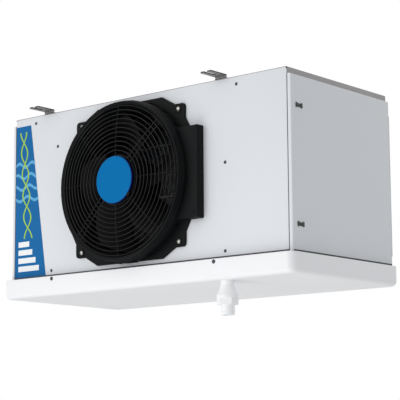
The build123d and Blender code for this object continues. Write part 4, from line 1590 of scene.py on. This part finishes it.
# ---- coil ---------------------------------------------------------------------------------------
@dataclass
class Coil:
    """Finned coil with round bends, header, distributor and leads."""

    end: float = 0.338
    reach: float = 0.014
    fin: float = 0.0004
    fin_pitch: float = 0.004
    tube: float = 0.006
    columns: tuple[float, ...] = (0.036, 0.080, 0.124, 0.168)
    rows: int = 6
    row_pitch: float = 0.066
    top_row: float = -0.061
    fan_height: float = -0.226
    lead_x: float = 0.424
    lead_pitch: float = 0.006
    lead: float = 0.002

    def build(self) -> None:
        """Build what shows round and dress what stays plain."""
        self.fins()
        dress("coil_tubes", COPPER)
        for node in ("coil_plate_top", "coil_plate_bottom", "tube_plate_left", "tube_plate_right"):
            dress(node, ZINC)
        dress("cover_hinge_lugs", ZINC)
        dress("coil_heaters", SHEATH)
        dress("suction_line", COPPER)
        self.bends("bends_left", "return_bends_left", -1, ((0, 1), (2, 3)))
        self.bends("bends_right", "return_bends_right", 1, ((1, 2),))
        self.header()
        self.distributor()
        self.leads()

    def fins(self) -> None:
        """Pack of thin upright fins between the tube plates."""
        piece = Piece("fin_pack", FIN_SHEET, nodes=("coil_fins",))
        low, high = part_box("coil_fins")
        count = int((high.x - low.x - self.fin) / self.fin_pitch)
        pitch = (high.x - low.x - self.fin) / count
        for index in range(count + 1):
            x = low.x + pitch * index
            piece.box((x, low.y, low.z), (x + self.fin, high.y, high.z))
        piece.finished()

    def heights(self) -> list[float]:
        """Return the heights of the tube rows.

        Returns:
            One height for each row, from the top.
        """
        return [self.top_row - row * self.row_pitch for row in range(self.rows)]

    def bends(self, name: str, node: str, side: int, pairs: tuple[tuple[int, int], ...]) -> None:
        """Build the return bends of one end.

        Args:
            name: Name of the piece.
            node: Node that it replaces.
            side: -1 for the left end, 1 for the right.
            pairs: Tube columns that each bend joins.
        """
        piece = Piece(name, COPPER, nodes=(node,))
        for z in self.heights():
            for first, second in pairs:
                y0, y1 = self.columns[first], self.columns[second]
                radius = (y1 - y0) / 2
                route = [Vector((side * self.end, y0, z))]
                for step in range(15):
                    angle = pi * step / 14
                    x = self.end + self.reach + radius * sin(angle)
                    route.append(Vector((side * x, (y0 + y1) / 2 - radius * cos(angle), z)))
                route.append(Vector((side * self.end, y1, z)))
                piece.add(pipe(route, self.tube, 12))
        piece.finished()

    def header(self) -> None:
        """Upright suction header with domed ends and one stub for each row."""
        piece = Piece("header_pipe", COPPER, nodes=("suction_header",))
        low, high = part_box("suction_header")
        x = high.x - 0.014
        y = self.columns[0]
        r, tall = 0.014, high.z - low.z
        lower = [(r * sin(a), r * 0.5 * (1 - cos(a))) for a in (pi / 2 * i / 5 for i in range(6))]
        upper = [(radius, tall - h) for radius, h in reversed(lower)]
        piece.add(turned(lower + upper, 40), Matrix.Translation((x, y, low.z)))
        for z in self.heights():
            piece.add(pipe([Vector((self.end, y, z)), Vector((x - r * 0.8, y, z))], self.tube, 16))
            braze = [(self.tube, 0), (self.tube + 0.0018, 0.0), (self.tube, 0.0035)]
            piece.add(turned(braze, 20, closed=True), facing_side(x - r * 0.97, y, z, -1))
        piece.finished()

    def distributor(self) -> None:
        """Brass distributor with a cone and a bent feed line that widens at its end."""
        piece = Piece("brass_distributor", BRASS, nodes=("liquid_distributor",))
        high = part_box("liquid_distributor")[1]
        y, z = self.columns[3], self.fan_height
        wide, neck, long = 0.0200, 0.0085, 0.031
        base = [(0, 0), (wide - 0.0006, 0), (wide, 0.0006), (wide, 0.006), (wide - 0.0015, 0.0075)]
        body = [*base, (neck, long - 0.002), (neck, long), (0, long)]
        piece.add(turned(body, 48), facing_side(self.lead_x, y, z, 1))
        turn_x = self.lead_x + 0.040
        c = 0.010
        corner = arc((turn_x - c, y + c), c, -pi / 2, 0, 8)
        route = [Vector((self.lead_x + 0.028, y, z)), *(Vector((px, py, z)) for px, py in corner)]
        route.append(Vector((turn_x, high.y - 0.020, z)))
        piece.add(pipe(route, self.tube, 16))
        bell = [(0.0058, 0.0), (0.0070, 0.0012), (0.0070, 0.0195), (0.0066, 0.020), (0.0058, 0.020)]
        place = Matrix.Translation((turn_x, high.y - 0.020, z)) @ Matrix.Rotation(-pi / 2, 4, "X")
        piece.add(turned(bell, 32, closed=True), place)
        piece.finished()

    def leads(self) -> None:
        """Thin leads from the distributor to the tube ends, smoothly bent."""
        piece = Piece("capillary_leads", COPPER, nodes=("distributor_leads",))
        y = self.columns[3]
        stub = self.end + self.reach
        for index, z in enumerate(self.heights()):
            z0 = self.fan_height + self.lead_pitch * ((self.rows - 1) / 2 - index)
            route = []
            for step in range(25):
                share = step / 24
                ease = share * share * (3 - 2 * share)
                route.append(Vector((self.lead_x + (stub - self.lead_x) * share, y, z0 + (z - z0) * ease)))
            piece.add(pipe(route, self.lead, 8))
            piece.add(pipe([Vector((self.end, y, z)), Vector((stub, y, z))], self.tube, 16))
        piece.finished()


# ---- studio -------------------------------------------------------------------------------------
@dataclass
class Studio:
    """Camera, lamps, floor and a white surround."""

    eye: Place = (2.53575, -2.95952, -0.86949)
    yaw: float = 0.6984
    pitch: float = 0.1588
    roll: float = -0.0065
    lens: float = 137.93
    floor_height: float = -5.0
    floor_reach: float = 40.0
    floor_glow: float = 0.36
    ambient: float = 0.62

    def build(self) -> None:
        """Set up everything round the object."""
        scene = bpy.context.scene
        scene.view_settings.view_transform = "Standard"
        self.camera(scene)
        self.surround(scene)
        self.floor()
        self.lamp("key", (-0.9, -3.6, 0.2), (0.0, -0.2, -0.25), 2.6, 26.0)
        self.lamp("below", (0.25, 0.1, -2.0), (0.1, 0.0, -0.4), 2.0, 5.0)
        self.lamp("under", (-0.1, -1.55, -1.7), (0.1, 0.0, -0.45), 1.6, 12.0)

    def camera(self, scene: bpy.types.Scene) -> None:
        """Place the camera below the object, looking up at its front right corner.

        Args:
            scene: The scene that gets it.
        """
        data = bpy.data.cameras.new("camera")
        data.lens = self.lens
        data.sensor_width = 36
        data.clip_end = 50
        made = bpy.data.objects.new("camera", data)
        turn = Matrix.Rotation(self.yaw, 4, "Z") @ Matrix.Rotation(pi / 2 + self.pitch, 4, "X")
        made.matrix_world = Matrix.Translation(self.eye) @ turn @ Matrix.Rotation(self.roll, 4, "Z")
        scene.collection.objects.link(made)
        scene.camera = made

    def surround(self, scene: bpy.types.Scene) -> None:
        """White background for what is seen directly or mirrored, soft grey light for the rest.

        Args:
            scene: The scene that gets it.
        """
        world = bpy.data.worlds.new("surround")
        scene.world = world
        world.use_nodes = True
        tree = world.node_tree
        tree.nodes.clear()
        output = tree.nodes.new("ShaderNodeOutputWorld")
        mix = tree.nodes.new("ShaderNodeMixShader")
        soft = tree.nodes.new("ShaderNodeBackground")
        soft.inputs["Color"].default_value = (0.96, 0.98, 1.0, 1)
        soft.inputs["Strength"].default_value = self.ambient
        white = tree.nodes.new("ShaderNodeBackground")
        white.inputs["Color"].default_value = (1, 1, 1, 1)
        white.inputs["Strength"].default_value = 1.0
        rays = tree.nodes.new("ShaderNodeLightPath")
        seen = rays.outputs["Is Camera Ray"]
        for name in ("Is Glossy Ray", "Is Transmission Ray"):
            either = tree.nodes.new("ShaderNodeMath")
            either.operation = "MAXIMUM"
            tree.links.new(seen, either.inputs[0])
            tree.links.new(rays.outputs[name], either.inputs[1])
            seen = either.outputs["Value"]
        tree.links.new(seen, mix.inputs["Fac"])
        tree.links.new(soft.outputs["Background"], mix.inputs[1])
        tree.links.new(white.outputs["Background"], mix.inputs[2])
        tree.links.new(mix.outputs["Shader"], output.inputs["Surface"])

    def floor(self) -> None:
        """Plain pale floor far below the hanging object."""
        shape = bmesh.new()
        place = Matrix.Translation((0, 0, self.floor_height))
        bmesh.ops.create_grid(shape, x_segments=1, y_segments=1, size=self.floor_reach, matrix=place)
        data = bpy.data.meshes.new("studio_floor")
        shape.to_mesh(data)
        shape.free()
        paint = bpy.data.materials.new("floor_paint")
        paint.use_nodes = True
        tree = paint.node_tree
        shader = tree.nodes["Principled BSDF"]
        shader.inputs["Base Color"].default_value = (0.82, 0.82, 0.82, 1)
        shader.inputs["Roughness"].default_value = 0.9
        shader.inputs["Emission Color"].default_value = (1, 1, 1, 1)
        seen = tree.nodes.new("ShaderNodeMath")
        seen.operation = "MULTIPLY"
        seen.inputs[1].default_value = self.floor_glow
        tree.links.new(tree.nodes.new("ShaderNodeLightPath").outputs["Is Camera Ray"], seen.inputs[0])
        tree.links.new(seen.outputs["Value"], shader.inputs["Emission Strength"])
        data.materials.append(paint)
        made = bpy.data.objects.new("studio_floor", data)
        bpy.context.scene.collection.objects.link(made)

    def lamp(self, name: str, place: Place, target: Place, size: float, power: float) -> None:
        """Add a square soft lamp.

        Args:
            name: Name of the lamp.
            place: Where it stands.
            target: Where it points.
            size: Side of its square.
            power: Its power in watts.
        """
        data = bpy.data.lights.new(name, "AREA")
        data.size = size
        data.energy = power
        made = bpy.data.objects.new(name, data)
        aim = (Vector(target) - Vector(place)).to_track_quat("-Z", "Y")
        made.matrix_world = Matrix.Translation(place) @ aim.to_matrix().to_4x4()
        made.visible_camera = False
        bpy.context.scene.collection.objects.link(made)


def main() -> None:
    """Dress the frame in order and set up the studio."""
    logging.basicConfig(level=logging.INFO, format="%(name)s: %(message)s")
    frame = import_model()
    frame_nodes.update(frame["nodes"])
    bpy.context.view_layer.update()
    casing = Casing()
    casing.build()
    Decal().build()
    HangingRails().build()
    SideCover("side_cover_left", "cover_screws_left", Body.LEFT_COVER, -1, casing.left).build()
    SideCover("side_cover_right", "cover_screws_right", Body.RIGHT_COVER, 1, casing.right).build()
    DrainPan().build()
    FanRing().build()
    Guard().build()
    Motor().build()
    Blades().build()
    Coil().build()
    Studio().build()


if __name__ == "__main__":
    main()
